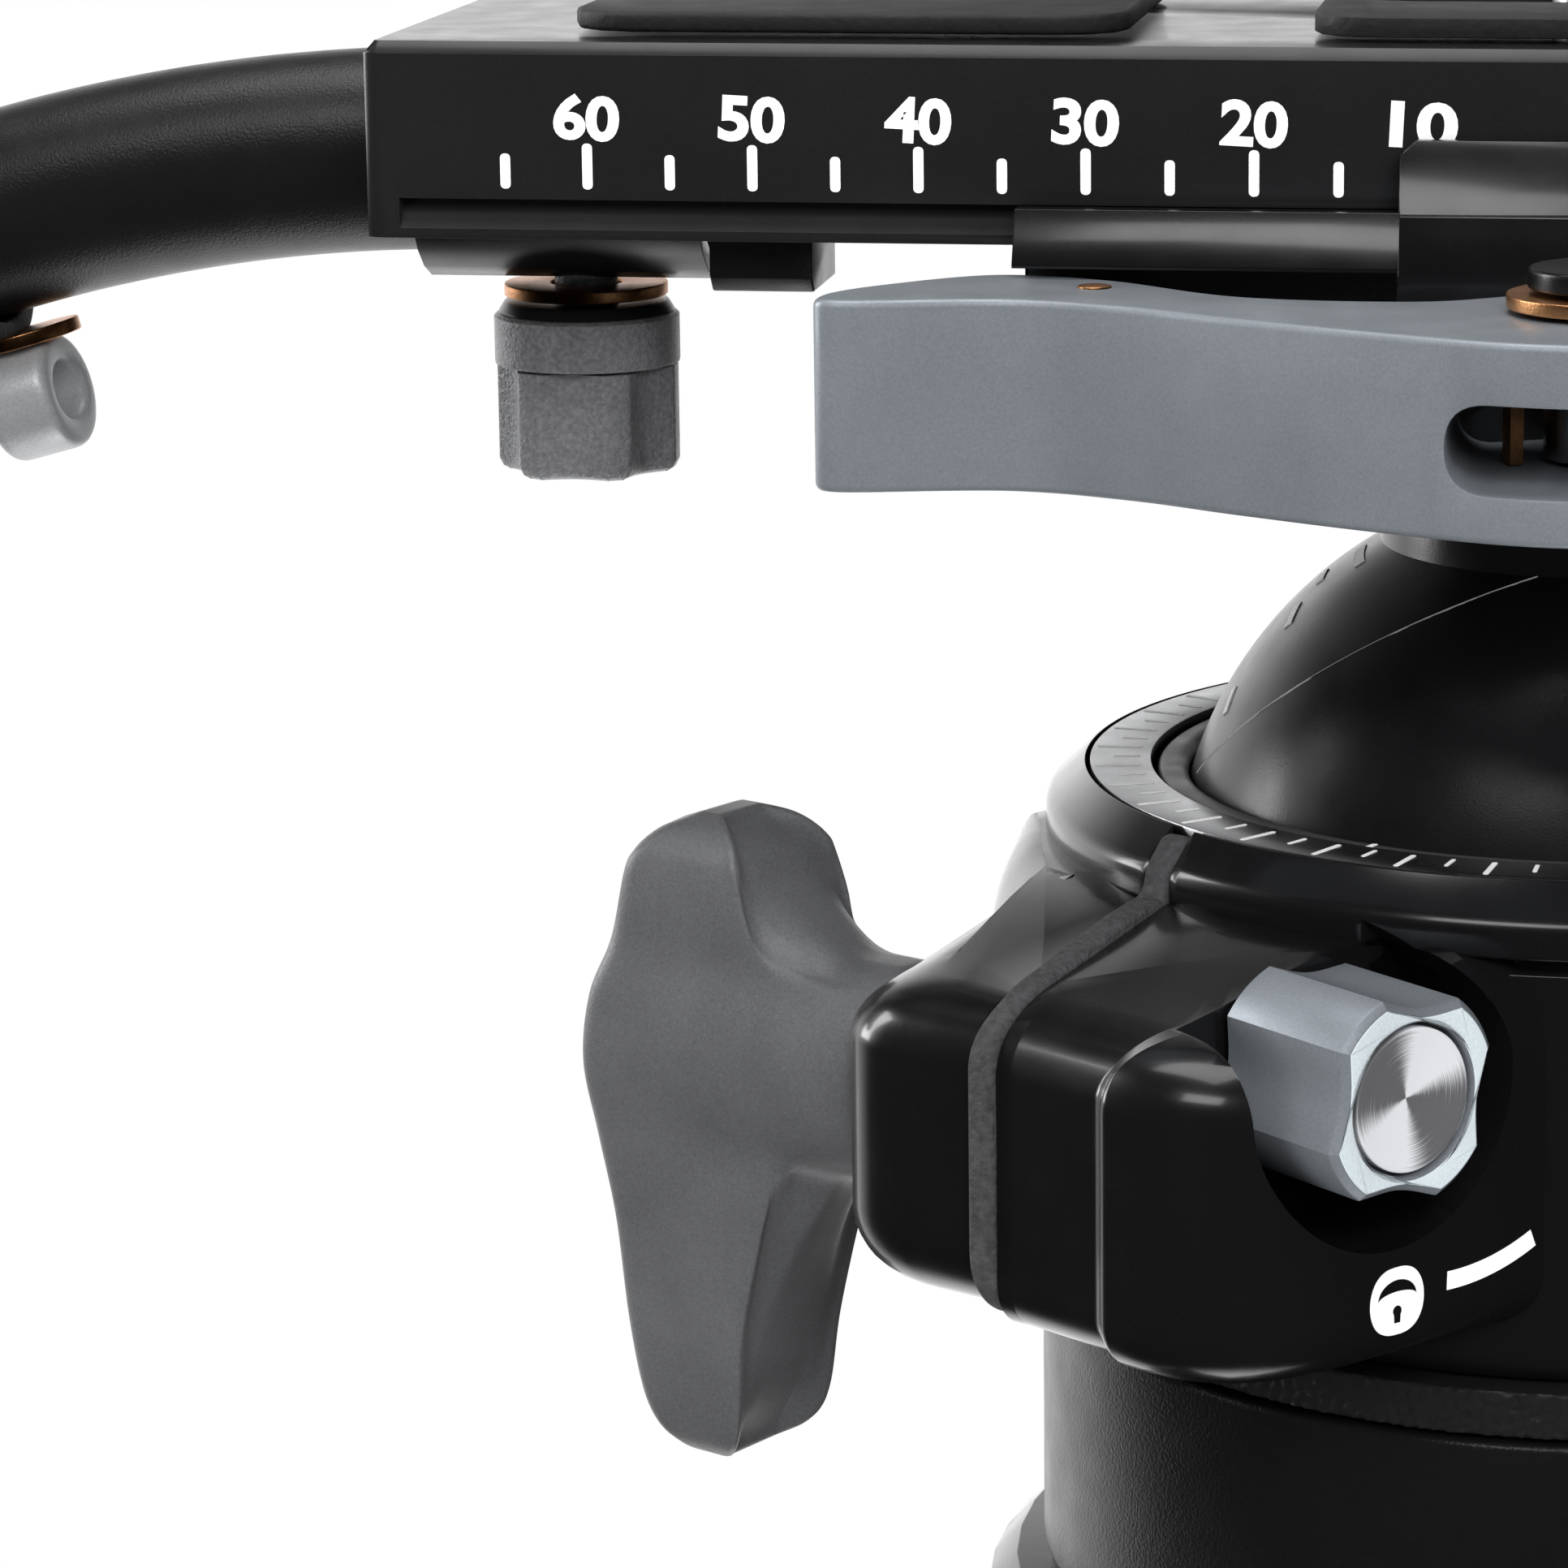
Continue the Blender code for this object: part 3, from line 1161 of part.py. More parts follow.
def front_jaw():
    """Sliding jaw: two long noses and a tall block in the middle."""
    nose = [(-PLATE_FRONT, RAIL_Z - PLATE_DROP), (-PLATE_FRONT, RAIL_Z + PLATE_RISE),
            (-JAW_FACE, RAIL_Z + PLATE_RISE), (-JAW_FACE, RAIL_Z + NOSE_TOP), (-NOSE_TIP, RAIL_Z + NOSE_TOP),
            (-JAW_FACE, RAIL_Z + NOSE_ROOT), (-JAW_FACE, RAIL_Z - PLATE_DROP)]
    plate = extruded_section(nose, -CLAMP_LENGTH / 2, CLAMP_LENGTH / 2)
    inner = -CLAMP_FRONT - JAW_TRAVEL / 2
    body = [(inner, RAIL_Z - BLOCK_DROP), (-BLOCK_FRONT, RAIL_Z - BLOCK_DROP),
            (-BLOCK_FRONT, RAIL_Z + BLOCK_SLOPE_RISE), (-BLOCK_TOP_FRONT, RAIL_Z + BLOCK_RISE),
            (-JAW_FACE, RAIL_Z + BLOCK_RISE), (-JAW_FACE, RAIL_Z - SEAT_GAP), (inner, RAIL_Z - SEAT_GAP)]
    tall = extruded_section(body, -BLOCK_LENGTH / 2, BLOCK_LENGTH / 2)
    rod = moved(cylinder(ROD_RADIUS + RUN_GAP, 0, BLOCK_FRONT + CUT_OVER, SMALL_SIDES), rod_matrix())
    return cut(join(plate, tall), rod)


def draw_rod():
    """Rod from the clamp body to the lever's pivot, with an eye at its end."""
    shaft = moved(cylinder(ROD_RADIUS, -ROD_BACK + SEAT_GAP, -LEVER_PIVOT_Y, SMALL_SIDES), rod_matrix())
    middle = lever_slot_height()
    half = ROD_EYE_HEIGHT / 2
    eye = moved(cylinder(ROD_EYE_RADIUS, middle - half, middle + half, SMALL_SIDES),
                Matrix.Translation((LEVER_PIVOT_X, LEVER_PIVOT_Y, 0)))
    hole = moved(cylinder(PIVOT_PIN_RADIUS + SEAT_GAP, middle - ROD_EYE_RADIUS, middle + ROD_EYE_RADIUS,
                          SMALL_SIDES), Matrix.Translation((LEVER_PIVOT_X, LEVER_PIVOT_Y, 0)))
    return cut(join(shaft, eye), hole)


def clamp_lever():
    """Curved lever that hooks over the draw rod with a forked boss."""
    pivot = Vector((LEVER_PIVOT_X, LEVER_PIVOT_Y))
    boss = LEVER_BOSS_RADIUS
    outline = [Vector((LEVER_REACH * reach + boss * along, boss * across))
               for reach, along, across in LEVER_OUTLINE_SHARES]
    high = RAIL_Z - LEVER_TOP_DROP
    low = high - LEVER_HEIGHT
    solid = prism(smooth_outline(outline, 3), low, high)
    soften(solid, LEVER_EDGE, 1, at_height(high))
    soften(solid, LEVER_EDGE, 1, at_height(low))
    moved(solid, Matrix.Translation((pivot.x, pivot.y, 0)))
    middle = lever_slot_height()
    half = LEVER_SLOT_HEIGHT / 2
    far = LEVER_REACH
    slot = join(
        block(pivot.x - LEVER_SLOT_START + half, pivot.x + far, pivot.y - far, pivot.y + far,
              middle - half, middle + half),
        moved(cylinder(half, -far, far, SMALL_SIDES),
              facing((0, -1), middle, (pivot.x - LEVER_SLOT_START + half, pivot.y))))
    hole = moved(cylinder(PIVOT_PIN_RADIUS + RUN_GAP, low - CUT_OVER, high + CUT_OVER, SMALL_SIDES),
                 Matrix.Translation((pivot.x, pivot.y, 0)))
    return cut(solid, slot, hole)


def lever_pivot():
    """Pin through the lever and the rod's eye, with a flat head."""
    high = RAIL_Z - LEVER_TOP_DROP + SEAT_GAP + LEVER_WASHER_HEIGHT + SEAT_GAP
    low = RAIL_Z - LEVER_TOP_DROP - LEVER_HEIGHT
    pin = lathe([(0, low), (PIVOT_PIN_RADIUS, low), (PIVOT_PIN_RADIUS, high), (PIVOT_HEAD_RADIUS, high),
                 (PIVOT_HEAD_RADIUS, high + PIVOT_HEAD_HEIGHT), (0, high + PIVOT_HEAD_HEIGHT)], SMALL_SIDES)
    return moved(pin, Matrix.Translation((LEVER_PIVOT_X, LEVER_PIVOT_Y, 0)))


def lever_washer():
    low = RAIL_Z - LEVER_TOP_DROP + SEAT_GAP
    high = low + LEVER_WASHER_HEIGHT
    washer = ring(PIVOT_PIN_RADIUS + SEAT_GAP, LEVER_WASHER_RADIUS, low, high, TUBE_SIDES)
    return moved(washer, Matrix.Translation((LEVER_PIVOT_X, LEVER_PIVOT_Y, 0)))


# Handle

def handle_line():
    """Centre line of the tube: straight in the rail, a bend, then a straight tail."""
    height = RAIL_Z + HANDLE_RISE
    points = [(-RAIL_LENGTH / 2 + HANDLE_INSET, 0, height)]
    for step in range(HANDLE_BEND_STEPS + 1):
        turn = HANDLE_SLOPE * step / HANDLE_BEND_STEPS
        points.append((HANDLE_STRAIGHT_END - HANDLE_BEND_RADIUS * math.sin(turn), 0,
                       height - HANDLE_BEND_RADIUS * (1 - math.cos(turn))))
    last = Vector(points[-1])
    tail = Vector((-math.cos(HANDLE_SLOPE), 0, -math.sin(HANDLE_SLOPE)))
    points.append(tuple(last + tail * HANDLE_TAIL))
    return points


def tail_matrix(distance):
    """Frame on the tail of the handle, its +Z along the tail and +X downwards."""
    bend_end = Vector(handle_line()[-2])
    along = Vector((-math.cos(HANDLE_SLOPE), 0, -math.sin(HANDLE_SLOPE)))
    down = Vector((math.sin(HANDLE_SLOPE), 0, -math.cos(HANDLE_SLOPE)))
    side = along.cross(down)
    turn = Matrix((down, side, along)).transposed().to_4x4()
    return Matrix.Translation(bend_end + along * distance) @ turn


def handle_tube():
    return swept(handle_line(), HANDLE_RADIUS, TUBE_SIDES)


def handle_socket():
    """Half round shell under the rail that closes on the tube."""
    half = RAIL_LENGTH / 2
    outer = HANDLE_RADIUS + SOCKET_WALL
    centre = RAIL_Z + HANDLE_RISE
    lengthwise = Matrix.Translation((-half, 0, centre)) @ Matrix.Rotation(math.pi / 2, 4, "Y")
    shell = moved(cylinder(outer, 0, SOCKET_LENGTH, TUBE_SIDES), lengthwise)
    bore = moved(cylinder(HANDLE_RADIUS + SEAT_GAP, -CUT_OVER, SOCKET_LENGTH + CUT_OVER, TUBE_SIDES),
                 Matrix.Translation((-half, 0, centre)) @ Matrix.Rotation(math.pi / 2, 4, "Y"))
    upper = block(-half - CUT_OVER, -half + SOCKET_LENGTH + CUT_OVER, -2 * outer, 2 * outer,
                  centre - SEAT_GAP, centre + 2 * outer)
    hole = moved(cylinder(LOCK_SCREW_RADIUS + RUN_GAP, centre - 2 * outer, centre, SMALL_SIDES),
                 Matrix.Translation((LOCK_KNOB_X, 0, 0)))
    return cut(shell, bore, upper, hole)


def lock_washer():
    high = RAIL_Z + HANDLE_RISE - HANDLE_RADIUS - SOCKET_WALL - SEAT_GAP
    washer = ring(LOCK_SCREW_RADIUS + SEAT_GAP, LOCK_WASHER_RADIUS, high - LOCK_WASHER_HEIGHT, high,
                  TUBE_SIDES)
    return moved(washer, Matrix.Translation((LOCK_KNOB_X, 0, 0)))


def lock_knob():
    """Knob with a plain ring above and scallops below, and its short screw."""
    high = RAIL_Z + HANDLE_RISE - HANDLE_RADIUS - SOCKET_WALL - SEAT_GAP - LOCK_WASHER_HEIGHT - SEAT_GAP
    low = high - LOCK_KNOB_LENGTH
    split = high - LOCK_KNOB_PLAIN
    plain = cylinder(LOCK_KNOB_RADIUS, split, high, FINE_SIDES, LOCK_KNOB_CHAMFER)
    grip = prism(lobed(LOCK_KNOB_RADIUS - LOCK_KNOB_CHAMFER / 5, LOCK_KNOB_LOBE_DEPTH, LOCK_KNOB_LOBES,
                       FINE_SIDES), low, split + LOCK_KNOB_CHAMFER * 2)
    soften(grip, LOCK_KNOB_CHAMFER, 1, at_height(low))
    screw = cylinder(LOCK_SCREW_RADIUS, split, RAIL_Z + HANDLE_RISE - HANDLE_RADIUS - SEAT_GAP, SMALL_SIDES)
    return moved(join(plain, grip, screw), Matrix.Translation((LOCK_KNOB_X, 0, 0)))


def stop_block():
    """Small chamfered block under the rail that stops the rail against the clamp."""
    high = RAIL_Z - SEAT_GAP
    low = high - STOP_BLOCK_HEIGHT
    front = STOP_BLOCK_FRONT
    section = [(front, high), (front, low + STOP_BLOCK_CHAMFER), (front + STOP_BLOCK_CHAMFER, low),
               (front + STOP_BLOCK_DEPTH, low), (front + STOP_BLOCK_DEPTH, high)]
    return extruded_section(section, STOP_BLOCK_CENTRE - STOP_BLOCK_LENGTH / 2,
                            STOP_BLOCK_CENTRE + STOP_BLOCK_LENGTH / 2)


def handle_grip():
    """Sleeve that slides on the tube's tail, with a clamp collar at its mouth."""
    bore = HANDLE_RADIUS + RUN_GAP
    depth = HANDLE_TAIL + SEAT_GAP
    profile = [
        (bore, GRIP_MOUTH),
        (GRIP_RADIUS, GRIP_MOUTH),
        (GRIP_RADIUS, GRIP_MOUTH + GRIP_COLLAR_LENGTH),
        (GRIP_WAIST, GRIP_MOUTH + GRIP_COLLAR_LENGTH + GRIP_STEP),
        (GRIP_WAIST, GRIP_MOUTH + GRIP_COLLAR_LENGTH + GRIP_WAIST_END),
        (GRIP_RADIUS, GRIP_MOUTH + GRIP_COLLAR_LENGTH + GRIP_FLARE_END),
        (GRIP_RADIUS, GRIP_MOUTH + GRIP_LENGTH - GRIP_END_ROUND),
        (GRIP_RADIUS - GRIP_END_ROUND, GRIP_MOUTH + GRIP_LENGTH),
        (0, GRIP_MOUTH + GRIP_LENGTH),
        (0, depth),
        (bore, depth),
    ]
    solid = lathe_with_bore(profile)
    spot = cylinder(CAM_WASHER_RADIUS + RUN_GAP, 0, GRIP_RADIUS, TUBE_SIDES)
    spot = moved(spot, Matrix.Translation((CAM_SEAT_RADIUS, 0, GRIP_MOUTH + CAM_PLACE))
                 @ Matrix.Rotation(math.pi / 2, 4, "Y"))
    return moved(cut(solid, spot), tail_matrix(0))


def lathe_with_bore(profile):
    """Turn a profile that starts at a bore's mouth and ends on its wall."""
    solid = bmesh.new()
    rows = []
    for radius, height in profile:
        if radius == 0:
            rows.append([solid.verts.new((0, 0, height))])
        else:
            rows.append([
                solid.verts.new((radius * math.cos(turn), radius * math.sin(turn), height))
                for turn in (2 * math.pi * step / TUBE_SIDES for step in range(TUBE_SIDES))
            ])
    rows.append(rows[0])
    for low, high in zip(rows, rows[1:]):
        if len(low) == 1 and len(high) == 1:
            continue
        for step in range(TUBE_SIDES):
            after = (step + 1) % TUBE_SIDES
            corners = [low[step % len(low)], low[after % len(low)],
                       high[after % len(high)], high[step % len(high)]]
            solid.faces.new(list(dict.fromkeys(corners)))
    bmesh.ops.recalc_face_normals(solid, faces=solid.faces)
    return solid


def cam_frame():
    """Frame under the grip's collar, its +Z away from the tube."""
    base = tail_matrix(GRIP_MOUTH + CAM_PLACE)
    return base @ Matrix.Translation((CAM_SEAT_RADIUS, 0, 0)) @ Matrix.Rotation(math.pi / 2, 4, "Y")


def cam_washer():
    washer = cylinder(CAM_WASHER_RADIUS, SEAT_GAP, SEAT_GAP + CAM_WASHER_HEIGHT, SMALL_SIDES)
    return moved(washer, cam_frame())


def cam_lever():
    """Small rounded cam loop that locks the grip."""
    low = 2 * SEAT_GAP + CAM_WASHER_HEIGHT
    half = CAM_RADIUS * CAM_WIDTH_SHARE
    outline = smooth_outline([
        (-CAM_THICKNESS / 2, -half), (CAM_THICKNESS / 2, -half),
        (CAM_THICKNESS / 2, half), (-CAM_THICKNESS / 2, half)], 5)
    body = prism(outline, low, low + CAM_LENGTH)
    soften(body, CAM_EDGE, 2, at_height(low + CAM_LENGTH))
    window = moved(cylinder(CAM_HOLE, -CAM_THICKNESS, CAM_THICKNESS, SMALL_SIDES),
                   Matrix.Translation((0, 0, low + CAM_LENGTH / 2)) @ Matrix.Rotation(math.pi / 2, 4, "Y"))
    return moved(cut(body, window), cam_frame())


def build_head():
    axis = (0, 0, RING_Z)
    centre = (0, 0, BALL_Z)
    wing = wing_matrix(SIDE_LUG_END).translation
    star = star_matrix(STAR_FLOOR).translation
    lever = (LEVER_PIVOT_X, LEVER_PIVOT_Y, RAIL_Z - LEVER_TOP_DROP)
    knob = (LOCK_KNOB_X, 0, RAIL_Z)
    tube = (-RAIL_LENGTH / 2, 0, RAIL_Z + HANDLE_RISE)
    mouth = tail_matrix(GRIP_MOUTH).translation
    pieces = [
        ("apex", apex(), "black_anodised", axis),
        ("column_screw", column_screw(), "steel", axis),
        ("base_column", base_column(), "powder_black", axis),
        ("textured_ring", textured_ring(), "rubber", axis),
        ("bearing_plate", bearing_plate(), "grey_acetal", axis),
        ("housing", housing(), "black_anodised", axis),
        ("seam_gasket", seam_gasket(), "rubber", axis),
        ("scale_ring", scale_ring(), "satin_black", axis),
        ("pan_sleeve", pan_sleeve(), "grey_acetal", axis),
        ("dust_ring", dust_ring(), "satin_black", axis),
        ("ball_cup", ball_cup(), "grey_acetal", centre),
        ("ball", ball(), "satin_black", centre),
        ("wing_knob", wing_knob(), "dark_grey_satin", wing),
        ("wing_screw", wing_screw(), "steel", wing),
        ("star_knob", star_knob(), "blue_grey_anodised", star),
        ("star_disc", star_disc(), "steel", star),
        ("star_spindle", star_spindle(), "steel", star),
        ("clamp_body", clamp_body(), "black_anodised", centre),
        ("front_jaw", front_jaw(), "black_anodised", centre),
        ("draw_rod", draw_rod(), "steel", lever),
        ("clamp_lever", clamp_lever(), "blue_grey_anodised", lever),
        ("lever_pivot", lever_pivot(), "satin_black", lever),
        ("lever_washer", lever_washer(), "copper", lever),
        ("rail", rail(), "black_anodised", centre),
        ("pad_left", rubber_pad(-1), "rubber", centre),
        ("pad_middle", rubber_pad(0), "rubber", centre),
        ("pad_right", rubber_pad(1), "rubber", centre),
        ("camera_screw", camera_screw(), "steel", (0, 0, RAIL_Z)),
        ("handle_socket", handle_socket(), "satin_black", tube),
        ("stop_block", stop_block(), "satin_black", centre),
        ("handle_tube", handle_tube(), "satin_black", tube),
        ("lock_washer", lock_washer(), "copper", knob),
        ("lock_knob", lock_knob(), "dark_grey_satin", knob),
        ("handle_grip", handle_grip(), "rubber", mouth),
        ("cam_washer", cam_washer(), "copper", mouth),
        ("cam_lever", cam_lever(), "dark_grey_satin", cam_frame().translation),
    ]
    for name, solid, finish_name, pivot in pieces:
        node(name, solid, finish_name, pivot)


def centre_on_floor():
    """Move everything so that the middle of the footprint is the origin."""
    bpy.context.view_layer.update()
    corners = [thing.matrix_world @ vert.co
               for thing in bpy.data.objects if thing.type == "MESH" for vert in thing.data.vertices]
    low = Vector(min(corner[axis] for corner in corners) for axis in range(3))
    high = Vector(max(corner[axis] for corner in corners) for axis in range(3))
    middle = (low + high) / 2
    for thing in bpy.data.objects:
        thing.location -= Vector((middle.x, middle.y, low.z))


def main():
    start_empty()
    build_head()
    for number in range(LEG_COUNT):
        build_leg(number)
    centre_on_floor()


main()
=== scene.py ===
# %% [markdown]
# A compact carbon fibre tripod with a panning ball head. The engineering model gives every
# part its place and its size, and this notebook dresses it: finer surfaces, printed marks,
# and finishes made of nodes. Lengths in the tables are millimetres, measured from one of a
# few frames that sit on the head, on the rail or on a leg.

# %% Open the frame
import json
import math

import bmesh
import bpy
import numpy as np
from mathutils import Matrix, Vector

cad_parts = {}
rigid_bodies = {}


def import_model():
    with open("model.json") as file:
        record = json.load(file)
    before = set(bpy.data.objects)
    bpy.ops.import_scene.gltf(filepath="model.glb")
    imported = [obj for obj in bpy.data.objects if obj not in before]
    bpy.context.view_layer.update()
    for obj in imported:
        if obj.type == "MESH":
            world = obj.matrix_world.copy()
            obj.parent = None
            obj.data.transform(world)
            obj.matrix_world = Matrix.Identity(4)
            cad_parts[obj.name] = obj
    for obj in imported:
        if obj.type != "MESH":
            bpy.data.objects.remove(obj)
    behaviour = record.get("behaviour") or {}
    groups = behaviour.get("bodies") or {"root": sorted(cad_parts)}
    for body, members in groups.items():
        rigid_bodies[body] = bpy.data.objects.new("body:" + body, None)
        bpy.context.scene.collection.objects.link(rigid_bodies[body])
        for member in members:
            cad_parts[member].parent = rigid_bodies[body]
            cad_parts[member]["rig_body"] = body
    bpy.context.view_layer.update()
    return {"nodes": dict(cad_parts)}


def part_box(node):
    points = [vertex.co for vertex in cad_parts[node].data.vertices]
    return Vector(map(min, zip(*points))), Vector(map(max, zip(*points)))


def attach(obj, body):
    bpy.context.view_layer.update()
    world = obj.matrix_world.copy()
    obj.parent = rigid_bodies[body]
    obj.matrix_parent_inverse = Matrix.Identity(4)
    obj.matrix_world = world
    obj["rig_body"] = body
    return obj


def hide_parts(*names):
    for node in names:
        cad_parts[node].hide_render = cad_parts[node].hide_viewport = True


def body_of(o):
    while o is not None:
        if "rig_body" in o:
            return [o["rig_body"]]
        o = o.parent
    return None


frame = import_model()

MM = 0.001

# %% [markdown]
# A frame is a place and three directions. Points written in millimetres are multiplied by the
# directions and added to the place, all at once, so a shape is worked out lying straight and
# flat, and the frame puts it where it belongs.

# %% Frames
X, Y, Z = np.eye(3)
WING_AT, LUG_AT, STAR_AT = 150, 240, -45  # degrees round the head
STAR_ASIDE = 37.05
LEAN, HINGE_RADIUS, HINGE_HEIGHT = math.radians(23), 29, 381.7


def placed(points, spot):
    """place + x * first direction + y * second direction + z * third direction."""
    place, directions = spot
    return place + (np.asarray(points, float) * MM) @ directions


def shifted(spot, offset, directions=(X, Y, Z)):
    """A frame at an offset in millimetres from another, with directions of its own."""
    return spot[0] + np.asarray(offset) * MM, np.array(directions)


def level(degrees):
    """Unit vector (cos a, sin a, 0), which points out level at an angle round the head."""
    return np.array([math.cos(math.radians(degrees)), math.sin(math.radians(degrees)), 0.0])


ring_low, ring_high = (np.array(corner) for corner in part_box("scale_ring"))
rail_low = np.array(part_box("rail")[0])
ring_middle = (ring_low + ring_high) / 2
head = np.array([ring_middle[0], ring_middle[1], ring_high[2]])
HEAD = (head, np.eye(3))
RAIL = (np.array([head[0], head[1], rail_low[2]]), np.eye(3))
PIVOT = shifted(RAIL, (1.0, -33.5, 0))


def looking_out(degrees, sideways, height):
    """Frame whose Z points out level at an angle round the head and whose X points up."""
    out = level(degrees)
    side = np.cross(out, Z)
    return head + (side * sideways + Z * height) * MM, np.array([Z, side, out])


WING = looking_out(WING_AT, -40.0, -15.3)
STAR = looking_out(STAR_AT, STAR_ASIDE, -10.0)


def along_leg(number):
    """Frame on a hinge pin whose Z points back up the leg, which leans off the vertical."""
    out = level(90 + 120 * number)
    up = Z * math.cos(LEAN) - out * math.sin(LEAN)
    across = out * math.cos(LEAN) + Z * math.sin(LEAN)
    hinge = head + out * HINGE_RADIUS * MM
    hinge[2] = HINGE_HEIGHT * MM
    return hinge, np.array([across, np.cross(up, across), up])


print("head axis and ring plane:", head.round(4), "rail underside:", rail_low[2].round(4))

# %% [markdown]
# Corners on real parts are never sharp. One rule rounds them all: on both sides of a corner
# the path leaves the straight a given length away, and in between it follows the weighted
# mean (1 - t)^2 of the first point, 2 t (1 - t) of the corner and t^2 of the last.
# The same rule works on an outline, on a lathe profile, and on a whole stack of curves.

# %% Paths and outlines
def eased(points, radius=np.inf, steps=5, closed=False):
    """Each corner becomes (1-t)^2 a + 2t(1-t) corner + t^2 b, for t from 0 to 1. Two corners
    share the line between them in proportion to their lengths."""
    points = np.asarray(points, float)
    radius = np.broadcast_to(np.minimum(radius, 1e4), len(points)).astype(float)
    radius = radius.reshape((-1,) + (1,) * (points.ndim - 1))

    def towards(way_on):
        way = np.roll(points, way_on, 0) - points
        length = np.maximum(np.linalg.norm(way, axis=-1, keepdims=True), 1e-9)
        share = radius / np.maximum(radius + np.roll(radius, way_on, 0), 1e-9)
        return points + way / length * np.minimum(radius, length * share)

    first, last = towards(1)[:, None], towards(-1)[:, None]
    t = np.linspace(0, 1, steps + 1).reshape((1, -1) + (1,) * (points.ndim - 1))
    path = (1 - t) ** 2 * first + 2 * t * (1 - t) * points[:, None] + t ** 2 * last
    if not closed:
        path[0], path[-1] = points[0], points[-1]
    return path.reshape((-1,) + points.shape[1:])


def through(points, steps=8, closed=True):
    """Smooth curve through the points: a cubic between each two, its slope at a point half
    the way between that point's neighbours."""
    points = np.asarray(points, float)
    if closed:
        a, b, c, d = (np.roll(points, shift, 0) for shift in (1, 0, -1, -2))
    else:
        row = np.arange(len(points) - 1)
        a, b = points[np.maximum(row - 1, 0)], points[row]
        c, d = points[row + 1], points[np.minimum(row + 2, len(points) - 1)]
    t = (np.arange(steps) / steps).reshape((1, -1) + (1,) * (points.ndim - 1))
    a, b, c, d = (each[:, None] for each in (a, b, c, d))
    curve = 0.5 * (2 * b + (c - a) * t + (2 * a - 5 * b + 4 * c - d) * t ** 2
                   + (3 * b - a - 3 * c + d) * t ** 3)
    curve = curve.reshape((-1,) + points.shape[1:])
    return curve if closed else np.concatenate([curve, points[-1:]])


def inward(outline, distance):
    """Every point of a closed outline moved to its left by a distance."""
    way = np.roll(outline, -1, 0) - np.roll(outline, 1, 0)
    way = way / np.maximum(np.linalg.norm(way, axis=1, keepdims=True), 1e-9)
    return outline + distance * np.stack([-way[:, 1], way[:, 0]], 1)


def bow(radius_x, radius_y, place=(0, 0), start=0.0, end=180.0, steps=24):
    """Part of an ellipse round a place: (radius_x cos a, radius_y sin a)."""
    turn = np.radians(np.linspace(start, end, steps))
    return np.stack([radius_x * np.cos(turn), radius_y * np.sin(turn)], 1) + place


# %% [markdown]
# Every new piece is a grid of points: rows along a profile, columns round it. Four
# neighbouring points make a face. Where a row shrinks to one point, its faces become
# triangles when double points are merged, which closes the ends without a separate lid.

# %% Skins and pieces
def skin(grid, spot=HEAD, along=False, capped=False, measure=None):
    """Quads between neighbours of a grid, rows by columns, closed round the columns. Its
    chart is (width x column / columns, the row's own height)."""
    grid = np.asarray(grid, float)
    rows, columns = grid.shape[:2]
    row = np.arange(rows if along else rows - 1)[:, None]
    column = np.arange(columns)[None, :]
    up, right = (row + 1) % rows, (column + 1) % columns
    corners = ((row, column), (row, right), (up, right), (up, column))
    quads = np.stack([y * columns + x for y, x in corners], -1).reshape(-1, 4)
    caps = [np.arange(columns)[::-1], np.arange(columns) + (rows - 1) * columns] if capped else []
    width, heights = measure if measure is not None else (1.0, np.linspace(0, 1, rows + 1))
    across = column[..., None] + np.array([0, 1, 1, 0])
    lengthwise = row[..., None] + np.array([0, 0, 1, 1])
    chart = np.stack(np.broadcast_arrays(across / columns * width, heights[lengthwise]), -1)
    return placed(grid.reshape(-1, 3), spot), quads, caps, chart.reshape(-1, 2)


def revolved(radius, height, turn):
    """(radius cos a, radius sin a, height), rows of radius and height by columns of a."""
    return np.stack([radius * np.cos(turn), radius * np.sin(turn), height + 0 * turn], -1)


def full_turn(sides):
    """Angles of a full turn, the last one short of the first."""
    return np.linspace(0, 2 * np.pi, sides, endpoint=False)


def lathe(profile, spot, sides=96, along=False):
    """A profile of (radius, height) carried through a full turn, its chart in millimetres."""
    profile = np.asarray(profile, float)
    steps = np.linalg.norm(np.diff(profile, axis=0, append=profile[:1]), axis=1)
    heights = np.concatenate([[0], np.cumsum(steps)])
    grid = revolved(profile[:, :1], profile[:, 1:], full_turn(sides))
    return skin(grid, spot, along, measure=(2 * np.pi * profile[:, 0].max(), heights))


def slab(outline, low, high, rim, spot, steps=4):
    """An outline raised from low to high, its rims rounded: the outline is drawn in by
    rim (1 - sin t) at a height of rim (1 - cos t) from each face."""
    outline = np.asarray(outline, float)
    turn = np.linspace(0, np.pi / 2, steps + 1)
    draw = rim * (1 - np.sin(turn))
    rise = rim * (1 - np.cos(turn))
    levels = np.concatenate([low + rise, high - rise[::-1]])
    draws = np.concatenate([draw, draw[::-1]])
    grid = [np.column_stack([inward(outline, each), np.full(len(outline), height)])
            for each, height in zip(draws, levels)]
    return skin(grid, spot, capped=True)


